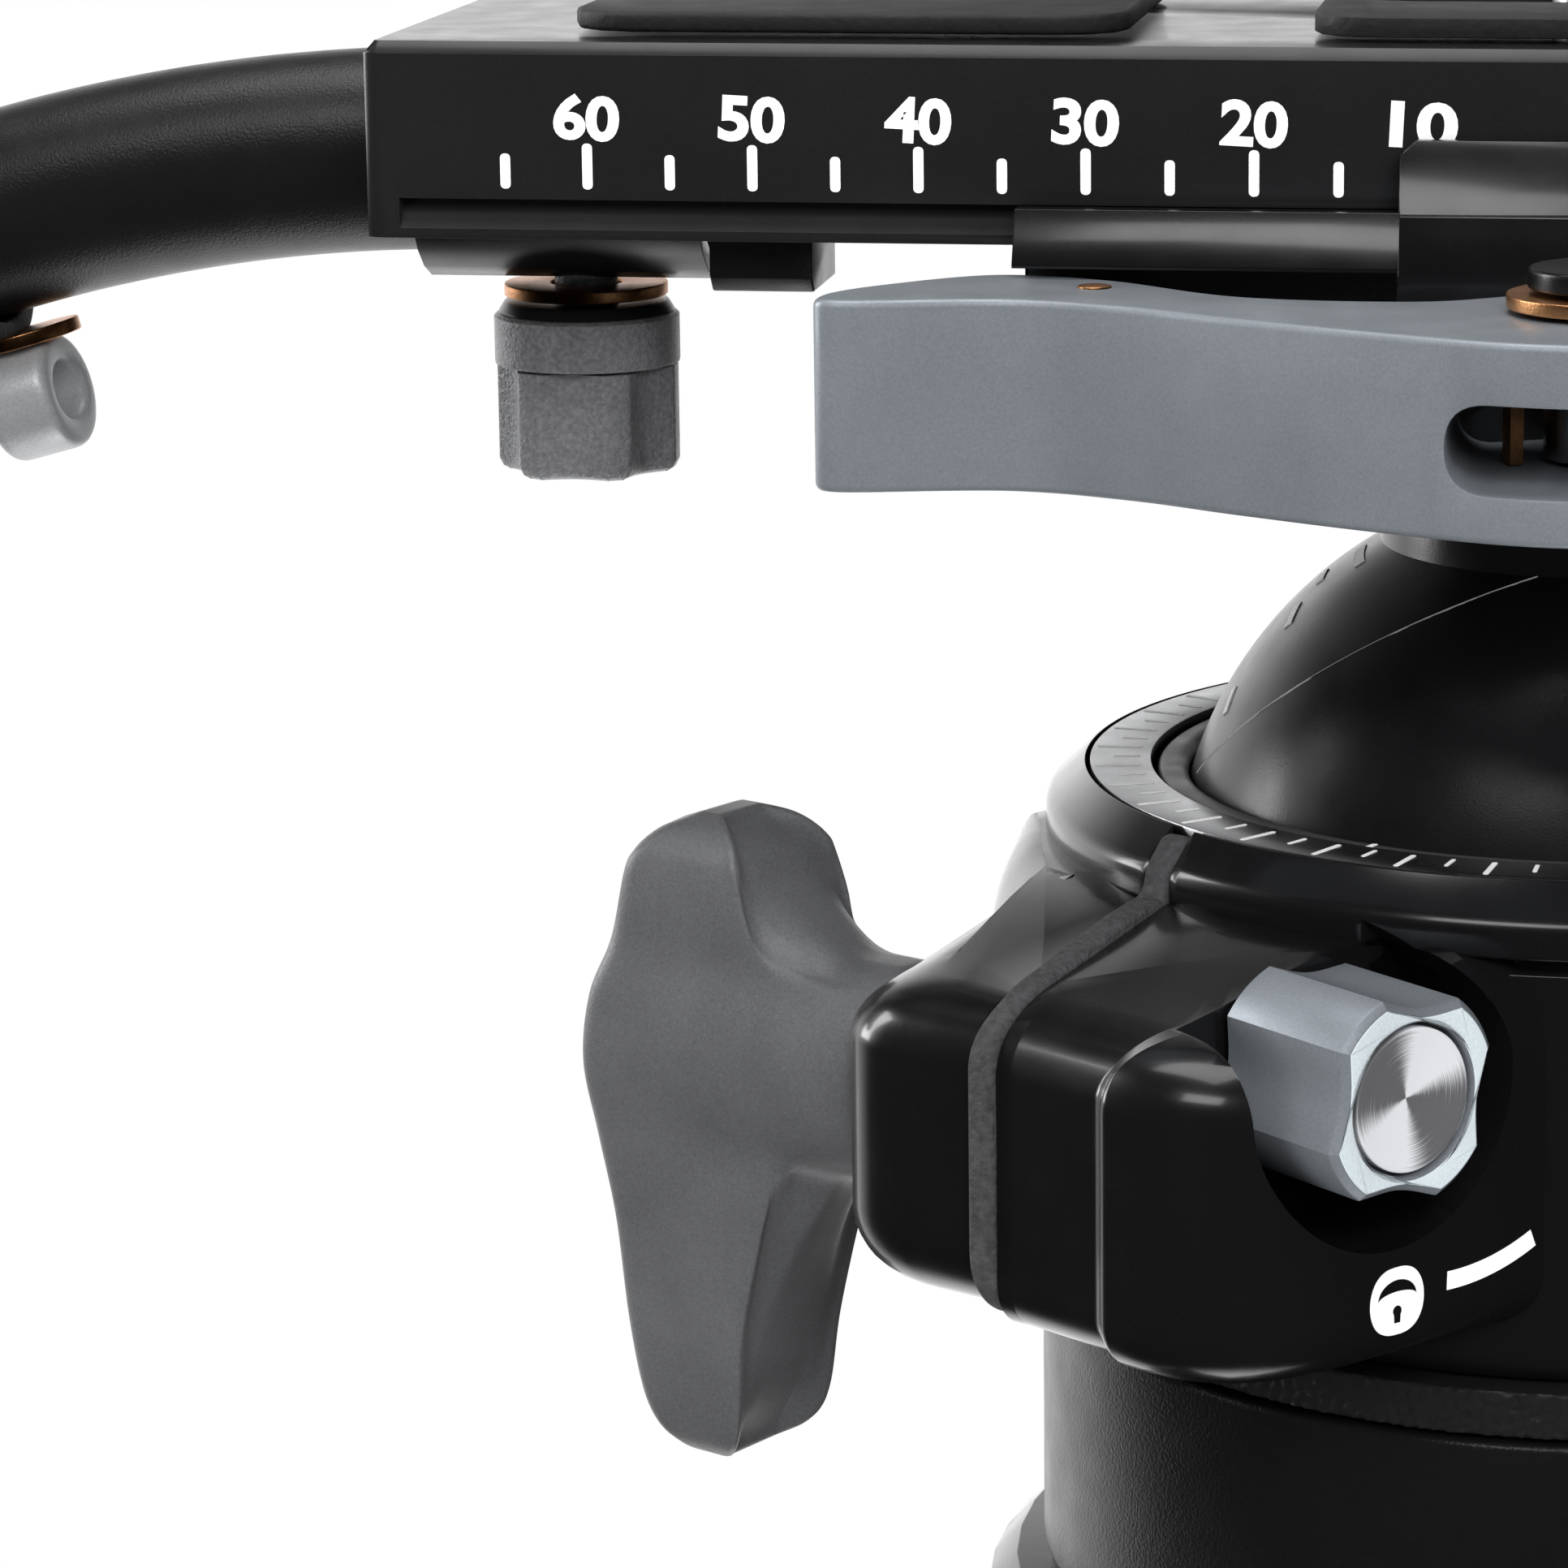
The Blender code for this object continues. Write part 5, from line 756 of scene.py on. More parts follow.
corner, left = lug_place(8.0, LUG_TIP), face_place(FACE_OUT, 48.5)
slope = (left - corner) / np.linalg.norm(left - corner)
outward = np.array([slope[1], -slope[0]])
step = corner + (left - corner) * 0.40
face_far, face_near = left + outward, face_place(FACE_OUT, 23.5)
front = np.concatenate([[lug_place(15.3, 30.5), lug_place(15.3, LUG_TIP), corner, step,
                         step + outward + slope, face_far, face_near],
                        bow(RING_BORE, RING_BORE, (0, 0), 265, 228, 6)])
side = np.array([lug_place(4.4, 29.8), lug_place(17, 26.9), lug_place(24, 20.9), lug_place(28.5, 14.1),
                 lug_place(31.3, 19.5), lug_place(28.2, 26.0), lug_place(24.6, 30.2), lug_place(22.5, 32.6),
                 lug_place(22.5, LUG_TIP), lug_place(4.4, LUG_TIP)])
side_weights = [0, 0, 0, 0, 0.4, 0.8, 1, 1, 1, 1]
front_skin = lug(front, radii=[0.02, 0.02, 0.02, 0.5, 0.5, 9.6, 0.3] + [0.02] * 6,
                 weights=[0, 1, 1, 1, 1, 1, 1] + [0] * 6,
                 low_weights=[0, 1.4, 1.4, 1.3, 1.2, 1, 1] + [0] * 6,
                 low=-26.2, top_round=5.6, bottom_round=3.0, seam=SEAM_START, side=-1)
side_skin = lug(side, radii=[0.02, 0.02, 0.02, 0.02, 2, 4, 3, 3, 6.2, 0.02], weights=side_weights,
                low_weights=side_weights, low=-25.5, top_round=5.6, bottom_round=4.8, seam=SEAM_END,
                side=1)
ring_profile = eased([(29.3, -30.3), (32.4, -30.3), (34.0, -28.7), (34.0, -5.2), (33.0, -5.0), (33.0, -4.4),
                      (34.6, -4.2), (34.6, -2.2), (32.1, 0), (32.1, -2.2), (29.3, -2.2)],
                     [0, 0.8, 0.8, 0.15, 0.2, 0.2, 0.25, 0.7, 0.1, 0, 0], 4, closed=True)
SEAM = (head, np.array([level(LUG_AT), Z, level(WING_AT)]))
gap = prism([(0, -40), (70, -40), (70, 5), (0, 5)], SEAM_START, SEAM_END, SEAM)
pocket = rod(POCKET_RADIUS, POCKET_FLOOR, CLEAR, STAR)
ring_mesh = cut_away(mesh_of("ring", [lathe(ring_profile, HEAD, 180, along=True)]), gap, pocket.copy())
front_mesh = cut_away(mesh_of("front_lug", [front_skin]), pocket, rod(SPINDLE_BORE, 7, 15, STAR, 32))
side_mesh = cut_away(mesh_of("side_lug", [side_skin]), rod(SCREW_BORE, 1.7, 26, WING, 32))
housing_mesh = joined([edged(ring_mesh, 0.2, 40), edged(front_mesh, 0.22, 40), edged(side_mesh, 0.22, 40)])
shown("housing_milled", housing_mesh, gloss_black, "housing", edge=gloss_black_worn_edge_highlight, sharp=30)
print("housing faces:", len(housing_mesh.polygons))

# %% [markdown]
# The seam is filled by a strip of woven cord. Its outline in the plane of the seam follows
# the ring and the sloping lugs, four tenths of a millimetre proud. A slab of that outline is
# the strip.

# %% Strip in the seam
strip_tip, strip_top, strip_foot, top_round, foot_round = 50.9, -3.5, -26.0, 5.6, 4.6
t = np.linspace(0, np.pi / 2, 12)
along_top = np.column_stack([np.linspace(34.4, 45.2, 9), np.full(9, strip_top)])
top_curve = np.column_stack([strip_tip - top_round * (1 - np.sin(t)),
                             strip_top - top_round * (1 - np.cos(t))])
low_curve = np.column_stack([strip_tip - foot_round * (1 - np.sin(t[::-1])),
                             strip_foot + foot_round * (1 - np.cos(t[::-1]))])
over_lug = np.concatenate([along_top, top_curve, low_curve])
lifted = sloped(np.column_stack([over_lug[:, 0], 10 + 0 * over_lug[:, 0], over_lug[:, 1]]), over_lug[:, 1])
strip = np.concatenate([[(28.9, strip_foot), (28.9, -2.6), (30.6, -2.6), (30.6, -0.35), (31.6, -0.3),
                         (33.3, -1.9), (33.7, -3.3)], lifted[:, [0, 2]]])[::-1]
strip = eased(strip, 0.4, 2, closed=True)
STRIP_START, STRIP_END, STRIP_RIM = 9.05, 10.95, 0.45
cord_mesh = mesh_of("strip", [slab(strip, STRIP_START, STRIP_END, STRIP_RIM, SEAM)])
cord_mesh = cut_away(cord_mesh, rod(SCREW_BORE, -5, 26, WING, 32))
shown("seam_cord", cord_mesh, gasket_cord, "seam_gasket")
print("seam cord faces:", len(cord_mesh.polygons))

# %% [markdown]
# The wing knob is a casting. Think of spokes that leave the middle of its outer face, turn
# over the rim, come back along the inner face and run down the hub. Each spoke is a path of
# control points, all spokes together are one array, and easing the whole array along the
# paths gives the crowned face, the ridge and the webs into the hub in one go.

# %% Wing knob
stations = np.array([
    # height, inner face, outer face, half width
    (14.6, 36.3, 38.9, 1.9), (14.0, 34.5, 40.5, 3.4), (12.8, 33.3, 41.7, 4.5), (11.4, 32.9, 42.4, 5.0),
    (6.6, 31.3, 43.4, 5.3), (2.9, 29.6, 44.9, 5.8), (-1.6, 29.2, 45.4, 6.0), (-6.4, 29.9, 44.6, 5.6),
    (-11.8, 31.5, 43.5, 5.3), (-18.8, 33.2, 42.7, 5.1), (-24.1, 33.8, 41.8, 4.6), (-26.0, 34.7, 40.5, 3.7),
    (-26.8, 36.3, 38.9, 2.1)])
HUB_RADIUS, HUB_END = 6.9, 23.1
rows = through(stations, 8, closed=False)
outline = np.concatenate([rows[:, [0, 3]] * [1, -1], (rows[:, [0, 3]])[::-1]])
order = np.argsort(rows[:, 0])
length = np.linalg.norm(outline, axis=1, keepdims=True)
hub = outline / length * (HUB_RADIUS - 0.6 * (outline[:, 1:] / length) ** 2)


def inner(height):
    return np.interp(height, rows[order, 0], rows[order, 1])


def outer(height):
    return np.interp(height, rows[order, 0], rows[order, 2])


def partway(share):
    """Places on the spokes, from the hub's edge at 0 to the outline at 1."""
    return outline * share + hub * (1 - share)


def spoke(place, depth):
    return np.column_stack([place, depth])


z_in, z_out, level_depth = inner(outline[:, 0]), outer(outline[:, 0]), 0 * outline[:, 0]
thick = z_out - z_in
web = inner(partway(0.25)[:, 0])
arm = np.clip((np.linalg.norm(outline, axis=1) - np.linalg.norm(hub, axis=1) - 0.6) / 3.5, 0, 1)
arm = arm * arm * (3 - 2 * arm)


def flowing(place, depth, straight):
    """On the arms the given place and depth, beside the hub a straight run down it."""
    blend = arm[:, None]
    flat = spoke(outline * (1 - straight) + hub * straight, z_out + (HUB_END - z_out) * straight)
    return spoke(place, depth) * blend + flat * (1 - blend)


paths = np.array([
    spoke(outline * 0, 45.2 + level_depth),
    spoke(outline * 0.35, outer(outline[:, 0] * 0.35) + 0.05),
    spoke(outline * 0.70, outer(outline[:, 0] * 0.70)),
    spoke(outline * 0.93, outer(outline[:, 0] * 0.93) - 0.05),
    spoke(outline, z_out - np.minimum(0.9, thick * 0.2)),
    spoke(outline, z_out - np.minimum(2.4, thick * 0.4)),
    flowing(outline, z_in + np.minimum(1.8, thick * 0.4), 0.35),
    flowing(outline, z_in + np.minimum(0.30, thick * 0.08), 0.50),
    flowing(outline * 0.95, z_in - 0.05, 0.56),
    flowing(partway(0.75), inner(partway(0.75)[:, 0]) + 0.35, 0.62),
    flowing(partway(0.45), inner(partway(0.45)[:, 0]) + 0.1, 0.70),
    flowing(partway(0.15), np.minimum(web, 30.2) - 0.6, 0.78),
    flowing(hub, np.minimum(web, 30.0) - 2.6, 0.86),
    spoke(hub, 24.6 + level_depth),
    spoke(hub, HUB_END + level_depth),
    spoke(hub * 0.93, 22.8 + level_depth),
    spoke(hub * 0.0, 22.8 + level_depth)])[::-1]
wing_mesh = mesh_of("wing", [skin(eased(paths, np.inf, 5), WING)])
shown("wing_cast", wing_mesh, dark_grey, "wing_knob", sharp=60)
print("wing faces:", len(wing_mesh.polygons))

# %% [markdown]
# The star knob and the lock knob share one idea. Their outline is a circle from which a
# shallow parabola is taken at each scallop. Rows go up the side, over the chamfer, in across
# the face and down into a round recess, so each knob is a single closed grid.

# %% Knobs
def scalloped(radius, depth, count, share, sides=240, turned=0.0):
    """radius - depth (1 - (phase / share)^2), where phase runs -0.5 to 0.5 across a lobe."""
    turn = full_turn(sides)
    phase = (count * turn / (2 * np.pi)) % 1 - 0.5
    reach = radius - depth * np.clip(1 - (phase / share) ** 2, 0, None)
    return reach[:, None] * np.stack([np.cos(turn + turned), np.sin(turn + turned)], 1)


def stack(levels, spot):
    """Rows from (outline, height) pairs, where an outline may be a plain radius."""
    sides = next(len(each) for each, height in levels if np.ndim(each) == 2)
    turn = full_turn(sides)
    circle = np.stack([np.cos(turn), np.sin(turn)], 1)
    rows = [np.column_stack([each if np.ndim(each) == 2 else circle * each, np.full(sides, height)])
            for each, height in levels]
    return skin(rows, spot)


star = scalloped(6.4, 1.15, 4, 0.30, turned=math.radians(37))
low, high = 14.2, 24.6
star_rows = [(0, low), (inward(star, 0.3), low), (star, low + 0.3), (star, high - 0.55),
             (inward(star, 0.06), high - 0.40), (inward(star, 0.40), high - 0.06),
             (inward(star, 0.50), high - 0.03), (4.75, high - 0.03), (4.55, high - 0.06),
             (4.50, high - 0.20), (4.50, high - 1.30), (0, high - 1.30)]
face_rows = [(4.62, high - 0.5), (inward(star, 0.60), high - 0.5), (inward(star, 0.46), high - 0.04),
             (inward(star, 0.50), high), (4.70, high), (4.62, high - 0.04), (4.62, high - 0.5)]
dish = eased([(0, high - 1.0), (DISH_RADIUS, high - 1.0), (DISH_RADIUS, high - 0.2), (3.9, high - 0.2),
              (0, high - 0.75)], [0, 0.1, 0.1, 0.2, 0], 3)
shown("star_milled", mesh_of("star", [stack(star_rows, STAR)]), blue_grey, "star_knob", sharp=28)
shown("star_face_polished", mesh_of("star_face", [stack(face_rows, STAR)]), pale_face, body="star", sharp=28)
turned_piece("star_dish_turned", dish, STAR, turned_disc, "star_disc")

KNOB = shifted(RAIL, (-64.2, 0, 0))
grip = scalloped(5.78, 0.95, 6, 0.36, turned=math.radians(-90) + math.pi / 6)
knob_rows = [(0, -17.25), (inward(grip, 0.7), -17.25), (inward(grip, 0.25), -17.0), (grip, -16.5),
             (grip, -10.55), (inward(grip, -0.02), -10.45), (5.86, -10.25), (5.9, -10.1), (5.9, -7.25),
             (5.75, -7.1), (5.2, -6.9), (2.0, -6.9), (2.0, -3.5), (0, -3.5)]
collar = eased([(2.1, -7.2), (5.35, -7.2), (5.62, -6.95), (5.2, -6.27), (2.1, -6.27)], 0.12, 2, closed=True)
shown("lock_knob_cast", mesh_of("lock_knob", [stack(knob_rows, KNOB)]), knob_grey, "lock_knob", sharp=38)
turned_piece("lock_knob_collar", collar, KNOB, satin_black, along=True, body="handle_lock")
for node, hole, rim, low, high, spot in (("lock_washer", 2.3, 5.2, -5.95, -5.15, KNOB),
                                         ("lever_washer", 2.5, 5.6, -1.2, -0.4, PIVOT)):
    washer = eased([(hole, low), (rim, low), (rim, high), (hole, high)], 0.12, 3, closed=True)
    turned_piece(node + "_turned", washer, spot, copper, node, along=True)
print("knobs and washers: 7")

# %% [markdown]
# The clamp lever is milled from bar, with one smooth outline through the points that its
# solid also uses. A slab of that outline is slotted for the draw rod and bored for its pivot.

# %% Clamp lever
LEVER_ARM, LEVER_END, LEVER_LOW, LEVER_HIGH = 45.2, 9, -12.7, -1.5
shares = np.array([(-1.00, 0, 0.367), (-0.97, 0, 0.073), (-0.76, 0, 0.227), (-0.60, 0, -0.04),
                   (-0.45, 0, -0.50), (-0.28, 0, -0.98), (-0.11, 0, -1.36), (0, 0.12, -1.38),
                   (0, 0.72, -0.90), (0, 0.94, -0.20), (0, 0.82, 0.52), (0, 0.20, 0.97),
                   (0, -0.55, 0.76), (0, -1.20, 0.42), (-0.46, 0, 0.52), (-0.64, 0, 1.20),
                   (-0.80, 0, 1.42), (-0.94, 0, 0.86)])
lever_outline = through(np.column_stack([LEVER_ARM * shares[:, 0] + LEVER_END * shares[:, 1],
                                         LEVER_END * shares[:, 2]]), 9)
lever_mesh = mesh_of("lever", [slab(lever_outline, LEVER_LOW, LEVER_HIGH, 0.45, PIVOT)])
ACROSS = shifted(RAIL, (1.0, -33.5, -7.5), (Z, X, Y))
round_end = eased([(-2.5, -8.5), (2.5, -8.5), (2.5, CLEAR), (-2.5, CLEAR)], [2.5, 2.5, 0, 0], 8, closed=True)
slot_tool, pin_tool = prism(round_end, -CLEAR, CLEAR, ACROSS), rod(2.6, -20, 5, PIVOT, 48)
lever_mesh = edged(cut_away(lever_mesh, slot_tool, pin_tool), 0.25, 50)
shown("clamp_lever_milled", lever_mesh, blue_grey, "clamp_lever", edge=blue_grey_edge, sharp=36)
pin_profile = eased([(0, -12.7), (2.2, -12.7), (2.2, -0.1), (4.4, -0.1), (4.4, 1.1), (0, 1.1)],
                    [0, 0.2, 0, 0.15, 0.3, 0], 3)
turned_piece("lever_pivot_turned", pin_profile, PIVOT, satin_black, "lever_pivot", 64)
spring_pin = eased([(0, -0.5), (1.0, -0.5), (1.0, 0.12), (0, 0.16)], [0, 0, 0.1, 0], 3)
turned_piece("lever_spring_pin", spring_pin, shifted(RAIL, (-28.7, -26.0, -1.5)), copper, sides=32,
             body="lever")
saddle = np.concatenate([bow(5.7, 5.7, (0, 0), 160, 205, 12), bow(4.9, 4.9, (0, 0), 160, 205, 12)[::-1]])
shown("lever_saddle", mesh_of("saddle", [slab(saddle, -9.9, -5.1, 0.1, PIVOT, 2)]), copper, body="lever")
print("lever faces:", len(lever_mesh.polygons))

# %% [markdown]
# The handle is a bent tube. Its centre line is straight, then an arc of 106 mm radius through
# 15.9 degrees, then straight again. A circle in the plane across the line is carried along it.

# %% Handle
BEND, BEND_START, BEND_RADIUS = math.radians(15.9), -72.0, 106
TUBE_START, TUBE_HEIGHT, TUBE_RADIUS = -57.0, 3.3, 6.45


def swept(path, radius, spot, sides=64):
    """path + radius (side cos a + up sin a), where side is Y and up is across the path."""
    way = np.gradient(path, axis=0)
    way /= np.linalg.norm(way, axis=1, keepdims=True)
    up = np.cross(Y, way)
    turn = full_turn(sides)[None, :, None]
    radius = np.broadcast_to(radius, (len(path),))[:, None, None]
    return skin(path[:, None] + radius * (Y * np.cos(turn) + up[:, None] * np.sin(turn)), spot)


bend = np.radians(np.linspace(0, 15.9, 40))
arc = np.column_stack([BEND_START - BEND_RADIUS * np.sin(bend), 0 * bend,
                       TUBE_HEIGHT - BEND_RADIUS * (1 - np.cos(bend))])
tail_way = np.array([-math.cos(BEND), 0, -math.sin(BEND)])
tail_down = np.array([math.sin(BEND), 0, -math.cos(BEND)])
path = np.concatenate([[(along, 0, TUBE_HEIGHT) for along in (TUBE_START, TUBE_START, -57.15, -64)], arc,
                       [arc[-1] + tail_way * along for along in (20, 41.9, 42, 42)]])
path[:, 0] += np.linspace(0, -1e-6, len(path))
radii = np.concatenate([[0, 6.2], np.full(len(path) - 4, TUBE_RADIUS), [6.2, 0]])
shown("handle_tube_bent", mesh_of("handle_tube", [swept(path, radii, RAIL)]), tube_black, "handle_tube")

TAIL = shifted(RAIL, arc[-1], (tail_down, np.cross(tail_way, tail_down), tail_way))
ribs = np.arange(12)[:, None] * 3.4 + np.array([[17.0, 18.6, 18.9, 20.1]])
ribbed = list(zip(np.tile([8.6, 8.6, 8.25, 8.25], 12), ribs.ravel()))[:-2]
grip_profile = [(6.85, 3.0), (8.5, 3.0), (8.6, 12.0), (7.4, 13.2), (7.4, 16.6)] + ribbed
grip_profile += [(8.6, 62.0), (5.6, 65.0), (0, 65.0), (0, 42.3), (6.85, 42.3)]
turned_piece("grip_moulded", eased(grip_profile, 0.3, 3, closed=True), TAIL, rubber, "handle_grip",
             along=True)
CAM = shifted(RAIL, arc[-1] + tail_way * 2.2 + tail_down * 7.4,
              (-tail_way, np.cross(tail_way, tail_down), tail_down))
disc = eased([(0, 0.3), (3.4, 0.3), (3.4, 1.2), (0, 1.2)], [0, 0.15, 0.15, 0], 3)
turned_piece("cam_washer_turned", disc, CAM, copper, "cam_washer", 64)
turn = full_turn(64)
loop = np.stack([0 * turn - 0.6, 3.7 * np.cos(turn), 4.7 + 2.7 * np.sin(turn)], 1)
ring_way = np.stack([0 * turn, np.cos(turn), np.sin(turn)], 1)
section = eased([(1.1, -2.3), (1.1, 2.3), (-0.9, 2.3), (-0.9, -2.3)], 0.8, 5, closed=True)[::-1]
grid = loop[:, None] + ring_way[:, None] * section[None, :, :1] + X * section[None, :, 1:]
shown("cam_loop_cast", mesh_of("cam_loop", [skin(grid, CAM, along=True)]), pale_grey, "cam_lever")
print("handle pieces: 4")

# %% [markdown]
# The legs are carbon tubes. A tube is a lathe profile with a wall, and its chart measures
# millimetres round and along, so the woven pattern has its true size. The twist locks are
# rubber covered: their radius has ribs, a rounded wave round the turn, that fades at the ends.

# %% Legs
TUBES = (("upper_tube", 14.3, 26.3, 300), ("middle_tube", 12.6, 60, 342), ("lower_tube", 10.9, 80, 386.4))
LOCKS = (("upper_lock", 14.3, 12.6, 300), ("lower_lock", 12.6, 10.9, 342))
WALL, RIBS, RIB_HEIGHT, PLAY = 1.2, 20, 0.35, 0.4
FOOT_RADIUS, FOOT_MIDDLE = 13.28, -400


def tube_wall(radius, start, end):
    return eased([(radius - WALL, -end), (radius, -end), (radius, -start), (radius - WALL, -start)],
                 0.15, 2, closed=True)


def twist_sleeve(outer_tube, inner_tube, tube_end, spot):
    """Radius R + 0.35 wave (1 - |s|^4), where wave is cos(n a) with its crests flattened and s
    runs -1 to 1 along the ribbed part."""
    start, end, outer = tube_end - 9, tube_end + 25, outer_tube + 3.6
    height = -np.concatenate([[end, end - 1.2], np.linspace(end - 2.4, start + 2.4, 26),
                              [start + 1.2, start]])
    base = np.concatenate([[outer - 1.9, outer - 0.9], np.full(26, outer - 0.35),
                           [outer - 0.5, outer - 1.2]])
    share = np.concatenate([[0, 0], 1 - np.abs(np.linspace(-1, 1, 26)) ** 4, [0, 0]])
    turn = full_turn(240)
    wave = np.sign(np.cos(RIBS * turn)) * np.abs(np.cos(RIBS * turn)) ** 0.6
    outside = revolved(base[:, None] + RIB_HEIGHT * share[:, None] * wave, height[:, None], turn)
    bore = np.array([(outer_tube + PLAY, -start), (outer_tube + PLAY, -tube_end - PLAY),
                     (inner_tube + PLAY, -tube_end - PLAY), (inner_tube + PLAY, -end)])
    return skin(np.concatenate([outside, revolved(bore[:, :1], bore[:, 1:], turn)]), spot, along=True)


under = bow(FOOT_RADIUS, FOOT_RADIUS, (0, FOOT_MIDDLE), -90, -4, 20)
under[0, 0] = 0
cuff = eased([(FOOT_RADIUS, FOOT_MIDDLE), (FOOT_RADIUS, -396.5), (12.9, -395.6), (12.9, -393.6),
              (13.3, -392.6), (12.4, -386), (12.4, -372), (11.2, -372), (11.2, -386.7), (0, -386.7)],
             [0, 0.4, 0.4, 0.4, 0.4, 2, 0.5, 0, 0, 0], 3)
for number, leg in enumerate(LEG_NAMES):
    spot = along_leg(number)
    for tube, radius, start, end in TUBES:
        turned_piece(leg + tube + "_woven", tube_wall(radius, start, end), spot, carbon_weave, leg + tube,
                     along=True)
    for lock, outer_tube, inner_tube, end in LOCKS:
        sleeve = mesh_of(lock, [twist_sleeve(outer_tube, inner_tube, end, spot)])
        shown(leg + lock + "_ribbed", sleeve, rubber, leg + lock, sharp=50)
    turned_piece(leg + "foot_moulded", np.concatenate([under, cuff]), spot, rubber, leg + "foot")
print("leg pieces:", 3 * (len(TUBES) + len(LOCKS) + 1))

# %% [markdown]
# Printed and engraved marks. A mark is a thin plate that stands a few hundredths of a
# millimetre proud, so it never fights with the surface under it. Long marks have round ends,
# as an engraving cutter leaves them. The numbers are text turned into a mesh first.

# %% Marks on the rail
def pill(x, y, width, height, steps=6):
    """Outline of a bar with round ends, standing up."""
    return eased(np.array([(-1, -1), (1, -1), (1, 1), (-1, 1)]) / 2 * [width, height] + [x, y],
                 min(width, height) / 2, steps, closed=True)


def plates(outlines, spot, depth=0.05, lift=0.02):
    """Outlines in a plane become thin plates that reach from -depth to lift."""
    return [skin([np.column_stack([outline, np.full(len(outline), z)]) for z in (-depth, lift)],
                 spot, capped=True) for outline in outlines]


def lettering(text, place, width, height, spot, bold=0.035, lean=-2.7, lift=0.02):
    """A word as a flat mesh, fitted to a width and a height and leant back a few degrees."""
    curve = bpy.data.curves.new("word", "FONT")
    curve.body, curve.offset, curve.resolution_u = text, bold, 5
    mesh = evaluated(linked("word", curve))
    points = np.zeros(len(mesh.vertices) * 3)
    mesh.vertices.foreach_get("co", points)
    points = points.reshape(-1, 3)[:, :2]
    low, high = points.min(0), points.max(0)
    flat = (points - (low + high) / 2) * np.array([width, height]) / (high - low)
    c, s = math.cos(math.radians(lean)), math.sin(math.radians(lean))
    flat = flat @ np.array([[c, s], [-s, c]]) + place
    mesh.vertices.foreach_set("co", placed(np.column_stack([flat, np.full(len(flat), lift)]), spot).ravel())
    return mesh


RAIL_FRONT = (np.array([head[0], rail_low[1], rail_low[2]]), np.array([X, Z, -Y]))
LONG_TICK, SHORT_TICK = (4.42, 0.62, 2.76), (4.10, 0.62, 2.11)  # height of the middle, width, length
ticks = [pill(-5.0 * step, *(SHORT_TICK if step % 2 else LONG_TICK)) for step in range(-13, 14)
         if abs(step) > 1]
shown("rail_scale", mesh_of("rail_ticks", plates(ticks, RAIL_FRONT)), white_print, body="plate")
numbers = [lettering(str(abs(place)), (place, 7.35), 4.0, 2.80, RAIL_FRONT)
           for place in range(-60, 61, 10) if place]
shown("rail_numbers", joined(numbers), white_print, body="plate")
print("rail marks:", len(ticks), "numbers:", len(numbers))

# %% [markdown]
# The dial ring carries a mark every five degrees, the tens longer. A mark is a pill drawn in
# the plane of the ring with its long side along the radius, then turned into place; all the
# marks are made in one array. The seal ring has one index line.

# %% Marks on the dial ring
def round_marks(degrees, inner, outer, width, spot):
    """Pills from inner to outer radius, turned by each angle."""
    base = pill(0, (inner + outer) / 2, width, outer - inner, 3)
    turn = np.radians(np.asarray(degrees) - 90)[:, None]
    x = base[:, 0] * np.cos(turn) - base[:, 1] * np.sin(turn)
    y = base[:, 0] * np.sin(turn) + base[:, 1] * np.cos(turn)
    return plates(np.stack([x, y], -1), spot, depth=0.06, lift=0.03)


tens, fives = np.arange(0, 360, 10), np.arange(5, 360, 10)
dial_marks = round_marks(tens, 28.6, 31.5, 0.34, HEAD) + round_marks(fives, 28.6, 30.3, 0.26, HEAD)
index = round_marks([-118.0], 26.1, 27.4, 0.4, shifted(HEAD, (0, 0, -0.33)))
shown("dial_marks", mesh_of("dial_marks", dial_marks), white_print, body=body_with("scale_ring"))
shown("index_mark", mesh_of("index", index), white_print, body=body_with("dust_ring"))
print("dial marks:", len(dial_marks))

# %% [markdown]
# The ball has tilt marks: short bars, drawn as (longitude, latitude) and bent onto the sphere
# by R (cos lat cos lon, cos lat sin lon, sin lat). Its one long line is a circle, the cut of
# a plane with the sphere: d n + sqrt(1 - d^2) (s cos a + (n x s) sin a), with n the plane's
# normal, d its distance from the middle as a share of R, and s a direction across n.

# %% Marks on the ball
def on_ball(outline, radius):
    """(longitude, latitude) in degrees to a place on a sphere."""
    lon, lat = np.radians(np.asarray(outline)).T
    return np.stack([radius * np.cos(lat) * np.cos(lon), radius * np.cos(lat) * np.sin(lon),
                     radius * np.sin(lat)], -1)


def ball_bar(start, end, width):
    """A bar from one (longitude, latitude) to another with a width in degrees."""
    start, end = np.array(start, float), np.array(end, float)
    way = end - start
    squeeze = math.cos(math.radians((start[1] + end[1]) / 2))
    side = np.array([-way[1] / squeeze, way[0] * squeeze])
    side = side / np.hypot(side[0] * squeeze, side[1]) * width / 2
    path = start + way * np.linspace(0, 1, 9)[:, None]
    outline = np.concatenate([path + side, (path - side)[::-1]])
    return skin([on_ball(outline, BALL_RADIUS + lift) for lift in (-0.10, 0.08)], BALL, capped=True)


bars = [ball_bar((-176, 56.6), (-163, 55.2), 1.7), ball_bar((-179, 50.4), (-173, 49.4), 1.4),
        ball_bar((-170.5, 45.2), (-165, 42.4), 1.7), ball_bar((-169, 31.0), (-166, 27.6), 1.4)]
shown("tilt_marks", mesh_of("ball_marks", bars), white_print, body=body_with("ball"))

